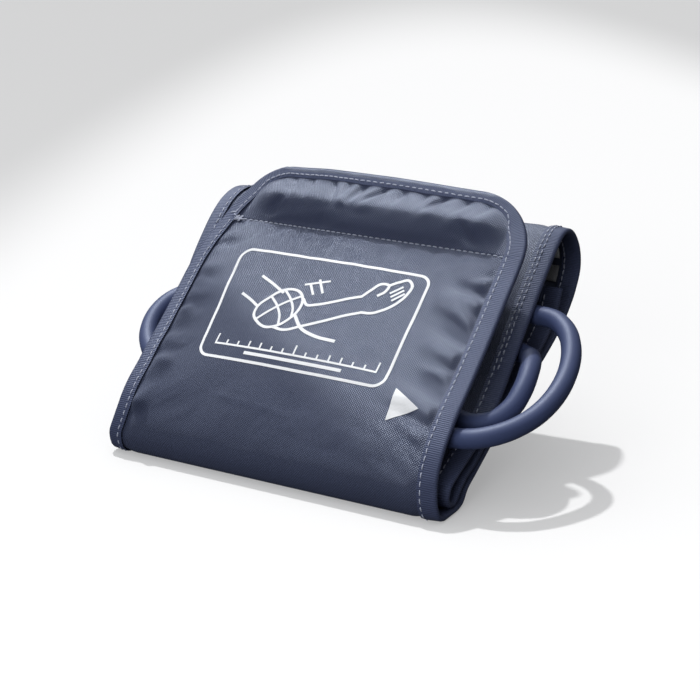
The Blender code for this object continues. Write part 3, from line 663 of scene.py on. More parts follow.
def height_out(s, x):
    """Outer face of the cloth over the mid surface, before simulation."""
    s, x = np.broadcast_arrays(s, x)
    d_side = np.minimum(x - edge_x(s, -1), edge_x(s, +1) - x)
    past = s - S_SEAM
    d = np.where(past > 0, rim_depth(x, np.maximum(past, 0)), d_side)
    e = d - tape_width(x, s)                 # distance in from the binding's edge
    rise = smooth(-0.4, 4.6, e)
    n = 0.55 + rise * (HALF_T - 0.55 + 0.2)
    panel = smooth(S_FOLD + 6, S_FOLD + 26, s) * (1 - smooth(S_SEAM - 14, S_SEAM - 1, s))
    n = n + panel * smooth(0.0, 18.0, e) * 0.9
    span = TAB_LEN - 5.0
    p = np.clip(past / span, 0, 1)
    hill = smooth(0.04, 0.58, p) * (1 - 0.82 * smooth(0.50, 1.0, p) - 0.06 * p)
    ends = smooth(-3.0, 17.0, (HALF_FRONT - np.abs(x)) - 7.5)
    n = n + 6.6 * hill * ends * (past > 0)
    front = smooth(S_FOLD + 4, S_FOLD + 16, s)
    n = n + 1.7 * puckers(s, x) * front * smooth(-0.6, 2.4, e)
    groove = np.exp(-(past / 2.0) ** 2) * smooth(-1.5, 1.5, d_side - 7.5)
    return n * (1 - 0.8 * groove) + 0.4 * groove


def height_in(s, x):
    s, x = np.broadcast_arrays(s, x)
    past = s - S_SEAM
    d_side = np.minimum(x - edge_x(s, -1), edge_x(s, +1) - x)
    d = np.where(past > 0, rim_depth(x, np.maximum(past, 0)), d_side)
    rise = smooth(7.7, 13.0, d)
    return -(0.5 + rise * 0.6 + 0.12 * noise(x / 18.0, s / 18.0, 5) * rise)


O_wrap = place(t_of(sw), xw, height_out(sw, xw))
I_wrap = place(t_of(sw), xw, height_in(sw, xw))
O_tab = place(t_of(st), xt, height_out(st, xt))
I_tab = place(t_of(st), xt, height_in(st, xt))

# how the front cloth puckers between its seams
front0 = int(np.searchsorted(rows_wrap, s_of(42.6)))


def front_arrays():
    P = np.concatenate([O_wrap[front0:], O_tab[1:]])
    s = np.concatenate([sw[front0:], st[1:]])
    x = np.concatenate([xw[front0:], xt[1:]])
    return P, s, x


def outward(P):
    """Unit normals of a grid of points."""
    du = np.gradient(P, axis=1)
    dv = np.gradient(P, axis=0)
    n = np.cross(du, dv)
    return n / np.maximum(np.linalg.norm(n, axis=-1, keepdims=True), 1e-12)


SIM_SCALE = 5.0


def simulate_front():
    """Cloth simulation of the slack cover between the bindings and the cross seam."""
    P, s, x = front_arrays()
    rows, cols = P.shape[:2]
    past = s - S_SEAM
    d_side = HALF_FRONT - np.abs(x)
    d = np.where(past > 0, rim_depth(x, np.maximum(past, 0)), d_side)
    centre = P.reshape(-1, 3).mean(0)
    verts = (P.reshape(-1, 3) - centre) * SIM_SCALE
    faces = [(r * cols + c, r * cols + c + 1, (r + 1) * cols + c + 1, (r + 1) * cols + c)
             for r in range(rows - 1) for c in range(cols - 1)]
    obj = make_object("sim_front", verts, faces, [], closed=False)
    pinned = (d < 8.3) | (np.abs(past) < 0.7) | (s < rows_wrap[front0] + 2.0)
    group = obj.vertex_groups.new(name="pin")
    group.add([int(i) for i in np.flatnonzero(pinned.ravel())], 1.0, 'REPLACE')
    slack = obj.vertex_groups.new(name="slack")
    low = smooth(rows_wrap[front0] + 4, rows_wrap[front0] + 30, s)
    near = np.exp(-((d - 10.0) / 9.0) ** 2)
    amount = np.clip(low * (0.35 + 0.75 * near) + 0.5 * (past > 0), 0, 1)
    for i, a in enumerate(amount.ravel()):
        slack.add([i], float(a), 'REPLACE')
    mod = obj.modifiers.new("Cloth", 'CLOTH')
    cs = mod.settings
    cs.quality = 6
    cs.mass = 0.25
    cs.tension_stiffness = 18
    cs.compression_stiffness = 14
    cs.shear_stiffness = 6
    cs.bending_stiffness = 0.6
    cs.tension_damping = 12
    cs.compression_damping = 12
    cs.shear_damping = 8
    cs.bending_damping = 1.0
    cs.air_damping = 2.0
    cs.effector_weights.gravity = 0.0
    cs.vertex_group_mass = "pin"
    cs.vertex_group_shrink = "slack"
    cs.shrink_min = 0.0
    cs.shrink_max = -0.075
    cs.use_pressure = True
    cs.uniform_pressure_force = 1.6
    mod.collision_settings.use_collision = False
    mod.point_cache.frame_start = 1
    mod.point_cache.frame_end = 30
    scene = bpy.context.scene
    for f in range(1, 27):
        scene.frame_set(f)
    dg = bpy.context.evaluated_depsgraph_get()
    ev = obj.evaluated_get(dg).to_mesh()
    co = np.zeros(len(ev.vertices) * 3, np.float32)
    ev.vertices.foreach_get("co", co)
    Q = co.reshape(rows, cols, 3) / SIM_SCALE + centre
    scene.frame_set(1)
    bpy.data.objects.remove(obj, do_unlink=True)
    D = Q - P
    nrm = outward(P)
    h = (D * nrm).sum(-1)
    lim = np.clip(h, -0.8 * MM, 3.2 * MM)
    D = D + nrm * (lim - h)[..., None]
    side = D - nrm * lim[..., None]
    size = np.linalg.norm(side, axis=-1, keepdims=True)
    side = side * np.minimum(1.0, 1.0 * MM / np.maximum(size, 1e-9))
    return nrm * lim[..., None] + side


D = simulate_front()
print("sim displacement mm: max %.2f mean %.2f" % (np.linalg.norm(D, axis=-1).max() * 1000, np.linalg.norm(D, axis=-1).mean() * 1000))
k = len(rows_wrap) - front0
O_wrap[front0:] += D[:k]
O_tab[0] = O_wrap[-1]
O_tab[1:] += D[k:]

cloth_wrap = thick_sheet("cloth_wrap", O_wrap, I_wrap, np.stack([xw, sw], -1), [M_NYLON, M_LINING])
cloth_tab = thick_sheet("cloth_tab", O_tab, I_tab, np.stack([xt, st], -1), [M_NYLON, M_LINING])

# the rolled inner part
rows_in = np.linspace(s_of(0.02), S_SPLIT, int(round((S_SPLIT - s_of(0.02)) / 2.2)) + 1)
U_in = np.linspace(0, 1, 81)
xi = (ROLL_L + 0.7) + (ROLL_R - ROLL_L - 1.4) * U_in[None, :] + 0 * rows_in[:, None]
si = np.broadcast_to(rows_in[:, None], xi.shape)


def height_inner(s, x, sign):
    d = np.minimum(x - ROLL_L, ROLL_R - x)
    rise = smooth(7.7, 13.0, d)
    extra = 0.22 * noise(x / 16.0, s / 16.0, 11 if sign > 0 else 12) * rise
    return sign * (0.55 + rise * 0.62) + extra


# it joins the wrap at the split with the same points
O_in = place(t_of(si), xi, height_inner(si, xi, +1))
I_in = place(t_of(si), xi, height_inner(si, xi, -1))
for grid, wrap in ((O_in, O_wrap), (I_in, I_wrap)):
    last = np.stack([np.interp(U_in, U, wrap[0, :, k]) for k in range(3)], -1)
    gap = last - grid[-1]
    fade = smooth(S_SPLIT - 14, S_SPLIT, rows_in)[:, None, None]
    grid += gap[None] * fade
cloth_inner = thick_sheet("cloth_inner", O_in, I_in, np.stack([xi, si], -1), [M_NYLON, M_LINING])


# ------------------------------------------------------------------ bindings
def tape_section():
    """(inset, height) round the tape's closed section, and the length round it."""
    out = [(BIND_W, HALF_T)]
    out += [(BIND_W - k, HALF_T + 0.10 * math.sin(math.pi * k / BIND_W)) for k in (0.15, 1.2, 2.8, 4.4, 5.8)]
    arc = [(1.25 - 1.25 * math.cos(a), HALF_T * math.sin(a)) for a in np.linspace(math.pi * 0.44, -math.pi * 0.44, 9)]
    low = [(d, -h) for d, h in reversed(out)]
    outer = out + arc + low
    inner = [(max(d, 0.36) if h > -9 else d, h) for d, h in
             [(BIND_W, -HALF_T + TAPE), (5.0, -HALF_T + TAPE), (1.6, -HALF_T + TAPE), (0.6, -0.45),
              (0.6, 0.45), (1.6, HALF_T - TAPE), (5.0, HALF_T - TAPE), (BIND_W, HALF_T - TAPE)]]
    pts = np.array(outer + inner)
    closed = np.vstack([pts, pts[:1]])
    run = np.concatenate([[0], np.cumsum(np.linalg.norm(np.diff(closed, axis=0), axis=1))])[:-1]
    return pts, run


SECTION, AROUND = tape_section()


def tape_wobble(q, seed):
    """Small unevenness of the tape along its length: height factor and inset shift."""
    return 0.10 * noise(q / 7.0, 0 * q + seed, 31 + seed, 2), 0.35 * noise(q / 15.0, 0 * q + seed, 47 + seed, 2)


def side_binding(name, s0, s1, side, step=1.6):
    s = np.linspace(s0, s1, max(3, int(round((s1 - s0) / step)) + 1))
    lift, shift = tape_wobble(s, 1 if side > 0 else 2)
    wide = tape_width(side * HALF_FRONT + 0 * s, s) / BIND_W
    ins = SECTION[None, :, 0] * (wide[:, None] + shift[:, None] / BIND_W * (SECTION[None, :, 0] > 3))
    lift = lift[:, None] + 0.35 * (SECTION[None, :, 1] > 0) * smooth(2.0, 7.0, SECTION[None, :, 0])
    h = SECTION[None, :, 1] + lift * np.sign(SECTION[None, :, 1]) * (SECTION[None, :, 0] > 2)
    x = edge_x(s, side)[:, None] - side * ins
    t = t_of(s)[:, None] + 0 * x
    return sweep(name, place(t, x, h), s, AROUND, M_TAPE)


binding_in = [side_binding("binding_inner_" + w, s_of(0.02), S_SPLIT, k, 2.4) for w, k in (("left", -1), ("right", 1))]
binding_wr = [side_binding("binding_wrap_" + w, S_SPLIT, S_SEAM, k) for w, k in (("left", -1), ("right", 1))]

# round the tab, from the right seam end over the tip to the left
CX, CY = HALF_FRONT - CORNER_R, TAB_LEN - CORNER_R
RIM_LEN = 2 * CY + math.pi * CORNER_R + 2 * CX


def rim_point(q, inset):
    """(x, distance past the seam) on the tab's outline, moved in by inset."""
    q = np.asarray(q, float)
    a1, a2, a3 = CY, CY + math.pi * CORNER_R / 2, CY + math.pi * CORNER_R / 2 + 2 * CX
    a4 = a3 + math.pi * CORNER_R / 2
    r = CORNER_R - inset
    x = np.select([q < a1, q < a2, q < a3, q < a4],
                  [HALF_FRONT - inset + 0 * q, CX + r * np.cos((q - a1) / CORNER_R), CX - (q - a2),
                   -CX - r * np.sin((q - a3) / CORNER_R)], -HALF_FRONT + inset + 0 * q)
    d = np.select([q < a1, q < a2, q < a3, q < a4],
                  [q, CY + r * np.sin((q - a1) / CORNER_R), TAB_LEN - inset + 0 * q,
                   CY + r * np.cos((q - a3) / CORNER_R)], RIM_LEN - q)
    return x, d


def tab_place(x, d, n):
    return place(t_of(S_SEAM + d), x, n)


q = np.linspace(0, RIM_LEN, 130)
lift, shift = tape_wobble(q, 3)
fade = smooth(0, 6, q) * smooth(RIM_LEN, RIM_LEN - 6, q)
lift, shift = lift * fade, shift * fade
rim0x, rim0d = rim_point(q, 0.0)
wide = tape_width(rim0x, S_SEAM + np.maximum(rim0d, 1e-6)) / BIND_W
ins = SECTION[None, :, 0] * (wide[:, None] + shift[:, None] / BIND_W * (SECTION[None, :, 0] > 3))
lift = lift[:, None] + 0.45 * (SECTION[None, :, 1] > 0) * smooth(2.0, 7.0, SECTION[None, :, 0])
h = SECTION[None, :, 1] + lift * np.sign(SECTION[None, :, 1]) * (SECTION[None, :, 0] > 2)
rx, rd = rim_point(q[:, None] + 0 * ins, ins)
binding_tab = sweep("binding_tab_rim", tab_place(rx, rd, h), q, AROUND, M_TAPE)

# over the strip's inner end
end_x = np.linspace(ROLL_L + 7.5, ROLL_R - 7.5, 60)
sec = SECTION.copy()
s_end = s_of(0.02) - 0.9 + sec[None, :, 0] * 0.95 + 0 * end_x[:, None]
h_end = sec[None, :, 1] * 1.28 + 0 * end_x[:, None]
pts = place(t_of(np.maximum(s_end, s_of(0.02))), end_x[:, None] + 0 * s_end, h_end)
d0 = place(0.02, end_x, 0.0) - place(0.25, end_x, 0.0)
d0 /= np.linalg.norm(d0, axis=-1, keepdims=True)
pts = pts + d0[:, None, :] * (np.maximum(s_of(0.02) - s_end, 0) * MM)[..., None]
binding_end = sweep("binding_end", pts, end_x, AROUND, M_TAPE)


# ------------------------------------------------------------------ stitches
def edge_line(side, inset, n, sign=+1):
    """A line along an edge, inset mm in from the binding's inner edge (negative: on the tape)."""
    def point(s):
        x = edge_x(s, side) - side * (tape_width(side * HALF_FRONT, s) + inset)
        p = place(t_of(s), x, n * sign)
        nn = normal2(t_of(s), x) * sign
        return p, np.array([0.0, nn[0], nn[1]])
    return point


ST_IN, ST_N = -1.5, HALF_T + 0.42
items_root, items_wrap, items_tab = [], [], []
for side, seed in ((-1, 5), (1, 6)):
    items_root += dash_line(edge_line(side, ST_IN, ST_N), s_of(0.4), S_SPLIT, seed=seed)
    items_root += dash_line(edge_line(side, ST_IN, ST_N, -1), s_of(0.4), S_SPLIT, seed=seed + 10)
    items_wrap += dash_line(edge_line(side, ST_IN, ST_N), S_SPLIT, S_SEAM, seed=seed + 20)
    items_wrap += dash_line(edge_line(side, ST_IN, ST_N, -1), S_SPLIT, S_SEAM, seed=seed + 30)
# the front layer inside the roll is stitched twice
items_root += dash_line(edge_line(1, -3.1, ST_N), s_of(17.5), s_of(26.0), seed=77, length=2.2)


def rim_line(inset, n, sign=+1):
    def point(q):
        x, d = rim_point(q, 0.0)
        x, d = rim_point(q, float(tape_width(x, S_SEAM + max(float(d), 1e-6))) + inset)
        p = tab_place(x, d, n * sign)
        nn = normal2(t_of(S_SEAM + d), x) * sign
        return p, np.array([0.0, float(nn[0]), float(nn[1])])
    return point


items_tab += dash_line(rim_line(ST_IN, ST_N), 0.0, RIM_LEN, seed=41)
items_tab += dash_line(rim_line(ST_IN, ST_N, -1), 0.0, RIM_LEN, seed=42)

O_all = np.concatenate([O_wrap, O_tab[1:]])
S_all = np.concatenate([rows_wrap, rows_tab[1:]])
N_all = outward(O_all)


def on_cloth(x, s, lift=0.0):
    """Point and normal on the finished front cloth."""
    x, s = np.broadcast_arrays(np.asarray(x, float), np.asarray(s, float))
    r = np.interp(s, S_all, np.arange(len(S_all)))
    lo = np.where(s > S_SEAM, -(tab_half(np.maximum(s - S_SEAM, 0)) - 0.7), edge_x(s, -1) + 0.7)
    hi = np.where(s > S_SEAM, tab_half(np.maximum(s - S_SEAM, 0)) - 0.7, edge_x(s, +1) - 0.7)
    c = np.clip((x - lo) / (hi - lo), 0, 1) * (COLS - 1)
    r0, c0 = np.minimum(r.astype(int), len(S_all) - 2), np.minimum(c.astype(int), COLS - 2)
    fr, fc = (r - r0)[..., None], (c - c0)[..., None]

    def mix(A):
        return ((A[r0, c0] * (1 - fc) + A[r0, c0 + 1] * fc) * (1 - fr)
                + (A[r0 + 1, c0] * (1 - fc) + A[r0 + 1, c0 + 1] * fc) * fr)
    n = mix(N_all)
    n = n / np.linalg.norm(n, axis=-1, keepdims=True)
    return mix(O_all) + n * (lift * MM), n


def seam_line(q):
    p, n = on_cloth(q, S_SEAM - 0.15, 0.16)
    return p, n


items_wrap += dash_line(seam_line, -65.2, 66.0, pitch=2.65, length=2.05, seed=51, wander=0.06)

# bartack and loose thread ends at the left end of the cross seam
rng = np.random.RandomState(8)
for k in range(7):
    x = -66.4 + 0.55 * k
    p, n = on_cloth(x, S_SEAM + rng.uniform(-0.5, 0.4), 0.75)
    a = np.array([0.45, 0.62, 0.64]) + rng.uniform(-0.25, 0.25, 3)
    a = a - n * np.dot(a, n)
    items_wrap.append((p, a / np.linalg.norm(a), n, rng.uniform(2.4, 3.4)))
for dx, ds, ang in ((-3.2, 2.2, 0.2), (-1.6, 0.9, -0.5), (2.8, -0.9, 0.1)):
    p, n = on_cloth(-65.2 + dx, S_SEAM + ds, 0.85)
    a = np.array([math.cos(ang), math.sin(ang) * 0.7, math.sin(ang) * 0.7])
    a = a - n * np.dot(a, n)
    items_wrap.append((p, a / np.linalg.norm(a), n, 3.4))

stitch_root = stitches("stitches_roll", items_root)
stitch_wrap = stitches("stitches_wrap", items_wrap)
stitch_tab = stitches("stitches_tab", items_tab)


# ------------------------------------------------------------------ print on the front panel
PS1, PS0 = S_SEAM - 15.6, S_SEAM - 68.4
PX1 = 39.5


def left_x(s):
    """Left side of the printed frame, which leans a little."""
    return -45.5 - 3.6 * (s - PS0) / (PS1 - PS0)


def panel(x, past):
    """Print point from x and the distance past the seam (negative: below it)."""
    return x, S_SEAM + past


print_verts, print_faces, print_uv = [], [], []


def stroke(points, width=1.0, cyclic=False, lift=0.13):
    """A printed line along points (x, s) in mm."""
    p = np.asarray(points, float)
    if cyclic:
        p = np.vstack([p, p[:1]])
    run = np.concatenate([[0], np.cumsum(np.linalg.norm(np.diff(p, axis=0), axis=1))])
    n = max(2, int(round(run[-1] / 0.7)) + 1)
    q = np.stack([np.interp(np.linspace(0, run[-1], n), run, p[:, k]) for k in (0, 1)], 1)
    if cyclic:
        q = q[:-1]
        tan = np.roll(q, -1, 0) - np.roll(q, 1, 0)
    else:
        tan = np.gradient(q, axis=0)
    tan /= np.maximum(np.linalg.norm(tan, axis=1, keepdims=True), 1e-9)
    side = np.stack([-tan[:, 1], tan[:, 0]], 1)
    if not cyclic:
        q[0] -= tan[0] * width * 0.25
        q[-1] += tan[-1] * width * 0.25
    base = len(print_verts)
    m = len(q)
    for off, lf in ((width / 2, -0.15), (width / 2 - 0.06, lift), (-width / 2 + 0.06, lift), (-width / 2, -0.15)):
        xy = q + side * off
        pos, _ = on_cloth(xy[:, 0], xy[:, 1], lf)
        print_verts.extend(pos)
        print_uv.extend(xy)
    segs = m if cyclic else m - 1
    for i in range(segs):
        j = (i + 1) % m
        for k in range(4):
            l = (k + 1) % 4
            print_faces.append((base + k * m + i, base + l * m + i, base + l * m + j, base + k * m + j))
    if not cyclic:
        print_faces.append(tuple(base + k * m for k in range(4)))
        print_faces.append(tuple(base + k * m + m - 1 for k in range(3, -1, -1)))


def smooth_curve(points, count=40, cyclic=False):
    pts = [tuple(p) for p in points]
    if cyclic:
        pts = pts[-2:] + pts + pts[:3]
        out = spline(pts, np.linspace(2, len(pts) - 3, count))
        return out[:-1]
    return spline(pts, np.linspace(0, len(pts) - 1, count))


def uvline(points):
    return [panel(u, v) for u, v in points]


# frame with rounded corners
r = 4.6
loop = []
for right, up, a0 in ((1, 1, 0), (0, 1, 90), (0, 0, 180), (1, 0, 270)):
    for a in np.linspace(a0, a0 + 90, 9):
        yy = (PS1 - r if up else PS0 + r) + r * math.sin(math.radians(a))
        xx = (PX1 - r if right else left_x(yy) + r) + r * math.cos(math.radians(a))
        loop.append((xx, yy))
stroke(loop, 1.3, cyclic=True)

# an arm with a cuff on it, in plain lines
LW = 1.3
stroke(smooth_curve(uvline([(-33.0, -28.0), (-26.5, -31.0), (-20.0, -34.4)])), LW)
stroke(smooth_curve(uvline([(-38.5, -37.4), (-33.0, -40.0), (-28.5, -42.6)])), LW)
stroke(smooth_curve(uvline([(-9.6, -36.0), (-7.0, -38.4), (-3.0, -37.6), (4.0, -34.8), (10.0, -32.0), (14.6, -30.2)])), LW)
stroke(smooth_curve(uvline([(-17.5, -51.0), (-12.0, -51.6), (-5.0, -48.6), (4.0, -44.2), (11.0, -40.4), (17.5, -37.6)])), LW)
cuff = [(-28.5, -42.6), (-25.0, -37.6), (-21.2, -33.8), (-17.0, -32.2), (-12.6, -33.0), (-9.8, -36.4), (-9.4, -41.0),
        (-11.6, -46.0), (-15.4, -50.0), (-20.4, -51.6), (-25.2, -49.8), (-28.4, -46.6)]
stroke(smooth_curve(uvline(cuff), 80, cyclic=True), LW)
stroke(smooth_curve(uvline([(-24.4, -37.0), (-19.8, -41.0), (-16.6, -45.4), (-15.2, -50.0)])), LW * 0.85)
stroke(smooth_curve(uvline([(-19.6, -33.0), (-15.2, -37.0), (-12.2, -41.4), (-11.2, -45.4)])), LW * 0.85)
stroke(smooth_curve(uvline([(-26.6, -48.8), (-22.0, -43.6), (-16.0, -38.2), (-10.8, -34.6)])), LW * 0.85)
# the air tube
stroke(smooth_curve(uvline([(-10.4, -43.6), (-4.4, -49.6), (3.0, -52.0), (12.0, -52.6)])), LW * 1.15)
# hand: thumb, palm and fingers
stroke(smooth_curve(uvline([(14.6, -30.2), (17.2, -26.4), (20.6, -22.6), (23.6, -22.8), (23.2, -26.0), (21.0, -28.4)])), LW)
stroke(smooth_curve(uvline([(23.6, -22.8), (27.2, -20.4), (30.8, -18.8), (33.0, -20.8), (32.6, -25.4), (30.0, -30.4),
                            (25.6, -34.8), (21.4, -37.2), (17.5, -37.6)]), 60), LW)
for k in range(3):
    stroke(uvline([(25.6 + 1.0 * k, -26.2 - 1.6 * k), (29.6 + 0.9 * k, -22.4 - 1.5 * k)]), LW * 0.75)
# mark for the gap between the cuff and the elbow
stroke(uvline([(-9.8, -28.4), (-6.6, -33.0)]), LW * 0.9)
stroke(uvline([(-6.6, -25.8), (-2.8, -31.6)]), LW * 0.9)
stroke(uvline([(-12.0, -29.0), (-2.0, -25.6)]), LW * 0.8)

# a plain arm-size scale under the drawing
stroke(uvline([(-39.5, -62.2), (34.5, -62.2)]), 0.95)
for k in range(15):
    xx = -39.5 + 74.0 * k / 14
    tall = 4.4 if k % 7 == 0 else (2.8 if k % 7 in (3, 4) else 2.0)
    stroke(uvline([(xx, -62.4), (xx, -62.2 + tall)]), 0.8)
stroke(uvline([(-24.0, -64.8), (20.0, -64.8)]), 1.5)

print_lines = make_object("print_lines", print_verts, print_faces, [M_PRINT], None, print_uv, smooth_shade=False)

# the artery mark is a filled triangle draped on the cloth
tri = np.array([(45.5, S_SEAM - 67.2), (57.4, S_SEAM - 73.4), (45.5, S_SEAM - 80.4)])
tv, tf, tuv = [], [], []
NT = 16
index = {}
for i in range(NT + 1):
    for j in range(NT + 1 - i):
        a, b = i / NT, j / NT
        xy = tri[0] * (1 - a - b) + tri[1] * a + tri[2] * b
        index[i, j] = len(tv)
        tv.append(on_cloth(xy[0], xy[1], 0.13)[0])
        tuv.append(xy)
count = len(tv)
for (i, j), k in list(index.items()):
    a, b = i / NT, j / NT
    xy = tri[0] * (1 - a - b) + tri[1] * a + tri[2] * b
    tv.append(on_cloth(xy[0], xy[1], -0.15)[0])
    tuv.append(xy)
for i in range(NT):
    for j in range(NT - i):
        a, b, c = index[i, j], index[i + 1, j], index[i, j + 1]
        tf += [(a, b, c), (count + a, count + c, count + b)]
        if i + j < NT - 1:
            d = index[i + 1, j + 1]
            tf += [(b, d, c), (count + b, count + c, count + d)]
edge = [index[i, 0] for i in range(NT + 1)] + [index[NT - i, i] for i in range(1, NT + 1)] + [index[0, NT - j] for j in range(1, NT)]
for a, b in zip(edge, edge[1:] + edge[:1]):
    tf.append((a, b, count + b, count + a))
mark = make_object("artery_triangle", tv, tf, [M_PRINT], None, tuv, smooth_shade=False)


# ------------------------------------------------------------------ patches and labels
def flat_patch(name, s0, s1, x0, x1, n, thick, mat, step=2.5):
    """Closed patch on the strip's outer (n > 0) or inner (n < 0) side."""
    s = np.linspace(s0, s1, max(3, int((s1 - s0) / step)))
    x = np.linspace(x0, x1, max(3, int((x1 - x0) / step)))
    X, S = np.meshgrid(x, s)
    e = np.minimum(np.minimum(X - x0, x1 - X), np.minimum(S - s0, s1 - S))
    soft = smooth(-0.5, 2.0, e)
    wob = 0.08 * noise(X / 9.0, S / 9.0, 60)
    hi = n + (thick / 2) * (0.35 + 0.65 * soft) + wob
    lo = n - thick / 2 + 0 * X
    if n < 0:
        hi, lo = n + thick / 2 + 0 * X, n - (thick / 2) * (0.35 + 0.65 * soft) + wob
    obj = thick_sheet(name, place(t_of(S), X, hi), place(t_of(S), X, lo), np.stack([X, S], -1), [mat, mat])
    return obj


loop_patch = flat_patch("loop_patch_pile", s_of(29.6), s_of(33.6), ROLL_L + 13, ROLL_R - 13, HALF_T + 0.8, 1.1, M_LOOP)
hook_patch = flat_patch("hook_patch_field", S_SEAM - 66, S_SEAM - 3, -56, 56, -HALF_T - 0.75, 0.9, M_HOOK)
care_label = flat_patch("care_label_cloth", s_of(26.4), s_of(27.5), 20.0, ROLL_R - BIND_W - 0.6, -HALF_T - 0.5, 0.3, M_LABEL, 1.2)
grey_label = flat_patch("grey_label_cloth", s_of(28.0), s_of(29.0), 28.0, ROLL_R - BIND_W - 0.6, -HALF_T - 0.5, 0.3, M_GREY, 1.2)


def patch_stitches(s0, s1, x0, x1, n, sign):
    def along_s(x):
        def point(s):
            nn = normal2(t_of(s), x) * sign
            return place(t_of(s), x, n), np.array([0.0, float(nn[0]), float(nn[1])])
        return point

    def along_x(s):
        def point(x):
            nn = normal2(t_of(s), x) * sign
            return place(t_of(s), x, n), np.array([0.0, float(nn[0]), float(nn[1])])
        return point
    out = []
    for k, x in enumerate((x0, x1)):
        out += dash_line(along_s(x), s0, s1, seed=90 + k)
    for k, s in enumerate((s0, s1)):
        out += dash_line(along_x(s), x0, x1, seed=94 + k)
    return out


loop_stitch = stitches("stitches_loop_patch", patch_stitches(s_of(29.6) + 1.5, s_of(33.6) - 1.5, ROLL_L + 14.5, ROLL_R - 14.5, HALF_T + 1.36, +1), 0.2, M_PATCH_THREAD)
hook_stitch = stitches("stitches_hook_patch", patch_stitches(S_SEAM - 64.5, S_SEAM - 4.5, -54.5, 54.5, -HALF_T - 1.22, -1), 0.2, M_PATCH_THREAD)

# ------------------------------------------------------------------ air hose
port_o = place(PORT_K, PORT_X, 0.0)
port_x = place(PORT_K, PORT_X + 10.0, 0.0) - place(PORT_K, PORT_X - 10.0, 0.0)
port_x /= np.linalg.norm(port_x)
_h = 0.02
_d = mid(PORT_K + _h, PORT_X) - mid(PORT_K - _h, PORT_X)
_d /= np.linalg.norm(_d)
port_z = np.array([0.0, -_d[1], _d[0]])
port_z = port_z - port_x * np.dot(port_z, port_x)
port_z /= np.linalg.norm(port_z)
leave = [port_o + port_x * (a * MM) + port_z * (AXIS_N * MM) for a in (SPIGOT_END + 0.3, SPIGOT_END + 10.0)]
route = np.array([*leave, *((np.array(HOSE_ROUTE) + SHIFT) * MM)])
dense = spline(route, np.linspace(0, len(route) - 1, 3000))
run = np.concatenate([[0], np.cumsum(np.linalg.norm(np.diff(dense, axis=0), axis=1))])
HOSE_LEN = float(run[-1])
line = np.stack([np.interp(np.linspace(0, HOSE_LEN, 420), run, dense[:, k]) for k in range(3)], 1)
curve = bpy.data.curves.new("air_hose_tube", 'CURVE')
curve.dimensions = '3D'
curve.bevel_depth = 0.004
curve.bevel_resolution = 6
curve.use_fill_caps = True
sp = curve.splines.new('POLY')
sp.points.add(len(line) - 1)
for pt, co in zip(sp.points, line):
    pt.co = (*co, 1.0)
sp.use_smooth = True
curve.materials.append(M_HOSE)
hose = bpy.data.objects.new("air_hose_tube", curve)
bpy.context.scene.collection.objects.link(hose)

# ------------------------------------------------------------------ CAD nodes that stay
for name, mat in (("tube_port", M_PORT), ("plug_collar", M_PORT), ("plug_body", M_PLUG), ("plug_seal", M_SEAL),
                  ("air_bladder", M_FILM), ("port_grommet", M_TAPE)):
    data = NODES[name].data
    data.materials.clear()
    data.materials.append(mat)

# ------------------------------------------------------------------ riding and replacing
for obj in (cloth_wrap, *binding_wr, stitch_wrap):
    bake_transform(obj)
m0, m1 = mid(K_SEAM, 0.0), mid(K_SEAM + 0.5, 0.0)
T = np.array([0.0, *(m1 - m0)])
T /= np.linalg.norm(T)
for obj in (cloth_tab, binding_tab, stitch_tab):
    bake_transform(obj)
for obj in (cloth_inner, *binding_in, binding_end, stitch_root, loop_patch, loop_stitch, care_label, grey_label, hose):
    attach(obj, "root")
for obj in (print_lines, mark, hook_patch, hook_stitch):
    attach(obj, "front_panel")

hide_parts("cover_roll", "lining_roll")
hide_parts("cover_front", "lining_front")
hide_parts("cover_tab", "lining_tab")
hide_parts("binding_roll_left")
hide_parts("binding_roll_right")
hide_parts("binding_front_left")
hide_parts("binding_front_right")
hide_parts("binding_tab")
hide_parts("binding_inner_end")
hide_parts("loop_patch")
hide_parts("hook_patch")
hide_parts("care_label")
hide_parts("grey_label")
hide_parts("artery_mark")
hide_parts("air_hose")

# ------------------------------------------------------------------ studio
floor_mesh = bpy.data.meshes.new("floor")
floor_mesh.from_pydata([(-8, -8, 0), (8, -8, 0), (8, 8, 0), (-8, 8, 0)], [], [(0, 1, 2, 3)])
floor = bpy.data.objects.new("floor", floor_mesh)
bpy.context.scene.collection.objects.link(floor)
floor.location.z = -0.0002
mat, nt, bsdf = new_material("floor_paper_painted_light")
tc = node(nt, "ShaderNodeTexCoord")
mp = node(nt, "ShaderNodeMapping")
mp.vector_type = 'TEXTURE'
nt.links.new(tc.outputs["Object"], mp.inputs["Vector"])
mp.inputs["Location"].default_value = (1.0797, -1.6401, 0.0)
mp.inputs["Rotation"].default_value = (0.0, 0.0, math.radians(30.0))
mp.inputs["Scale"].default_value = (0.5133, 3.5746, 1.0)
# painted light: a spherical gradient makes the floor bright round the object and darker towards the corners, a painted
# pool of light
painted_light_falloff = node(nt, "ShaderNodeTexGradient")
painted_light_falloff.gradient_type = 'SPHERICAL'
nt.links.new(mp.outputs[0], painted_light_falloff.inputs[0])
HI = 0.568
shade = node(nt, "ShaderNodeValToRGB")
shade.color_ramp.interpolation = 'EASE'
shade.color_ramp.elements[0].position = 0.0
shade.color_ramp.elements[0].color = (HI * 0.686, HI * 0.686, HI * 0.686, 1.0)
shade.color_ramp.elements[1].position = 0.176
shade.color_ramp.elements[1].color = (HI, HI, HI, 1.0)
nt.links.new(painted_light_falloff.outputs["Fac"], shade.inputs[0])
# painted fill light: the floor glows with its own ramp colour, which lightens the shadows cast on it
nt.links.new(shade.outputs[0], bsdf.inputs["Emission Color"])
bsdf.inputs["Emission Strength"].default_value = 0.55
nt.links.new(shade.outputs[0], bsdf.inputs["Base Color"])
bsdf.inputs["Roughness"].default_value = 1.0
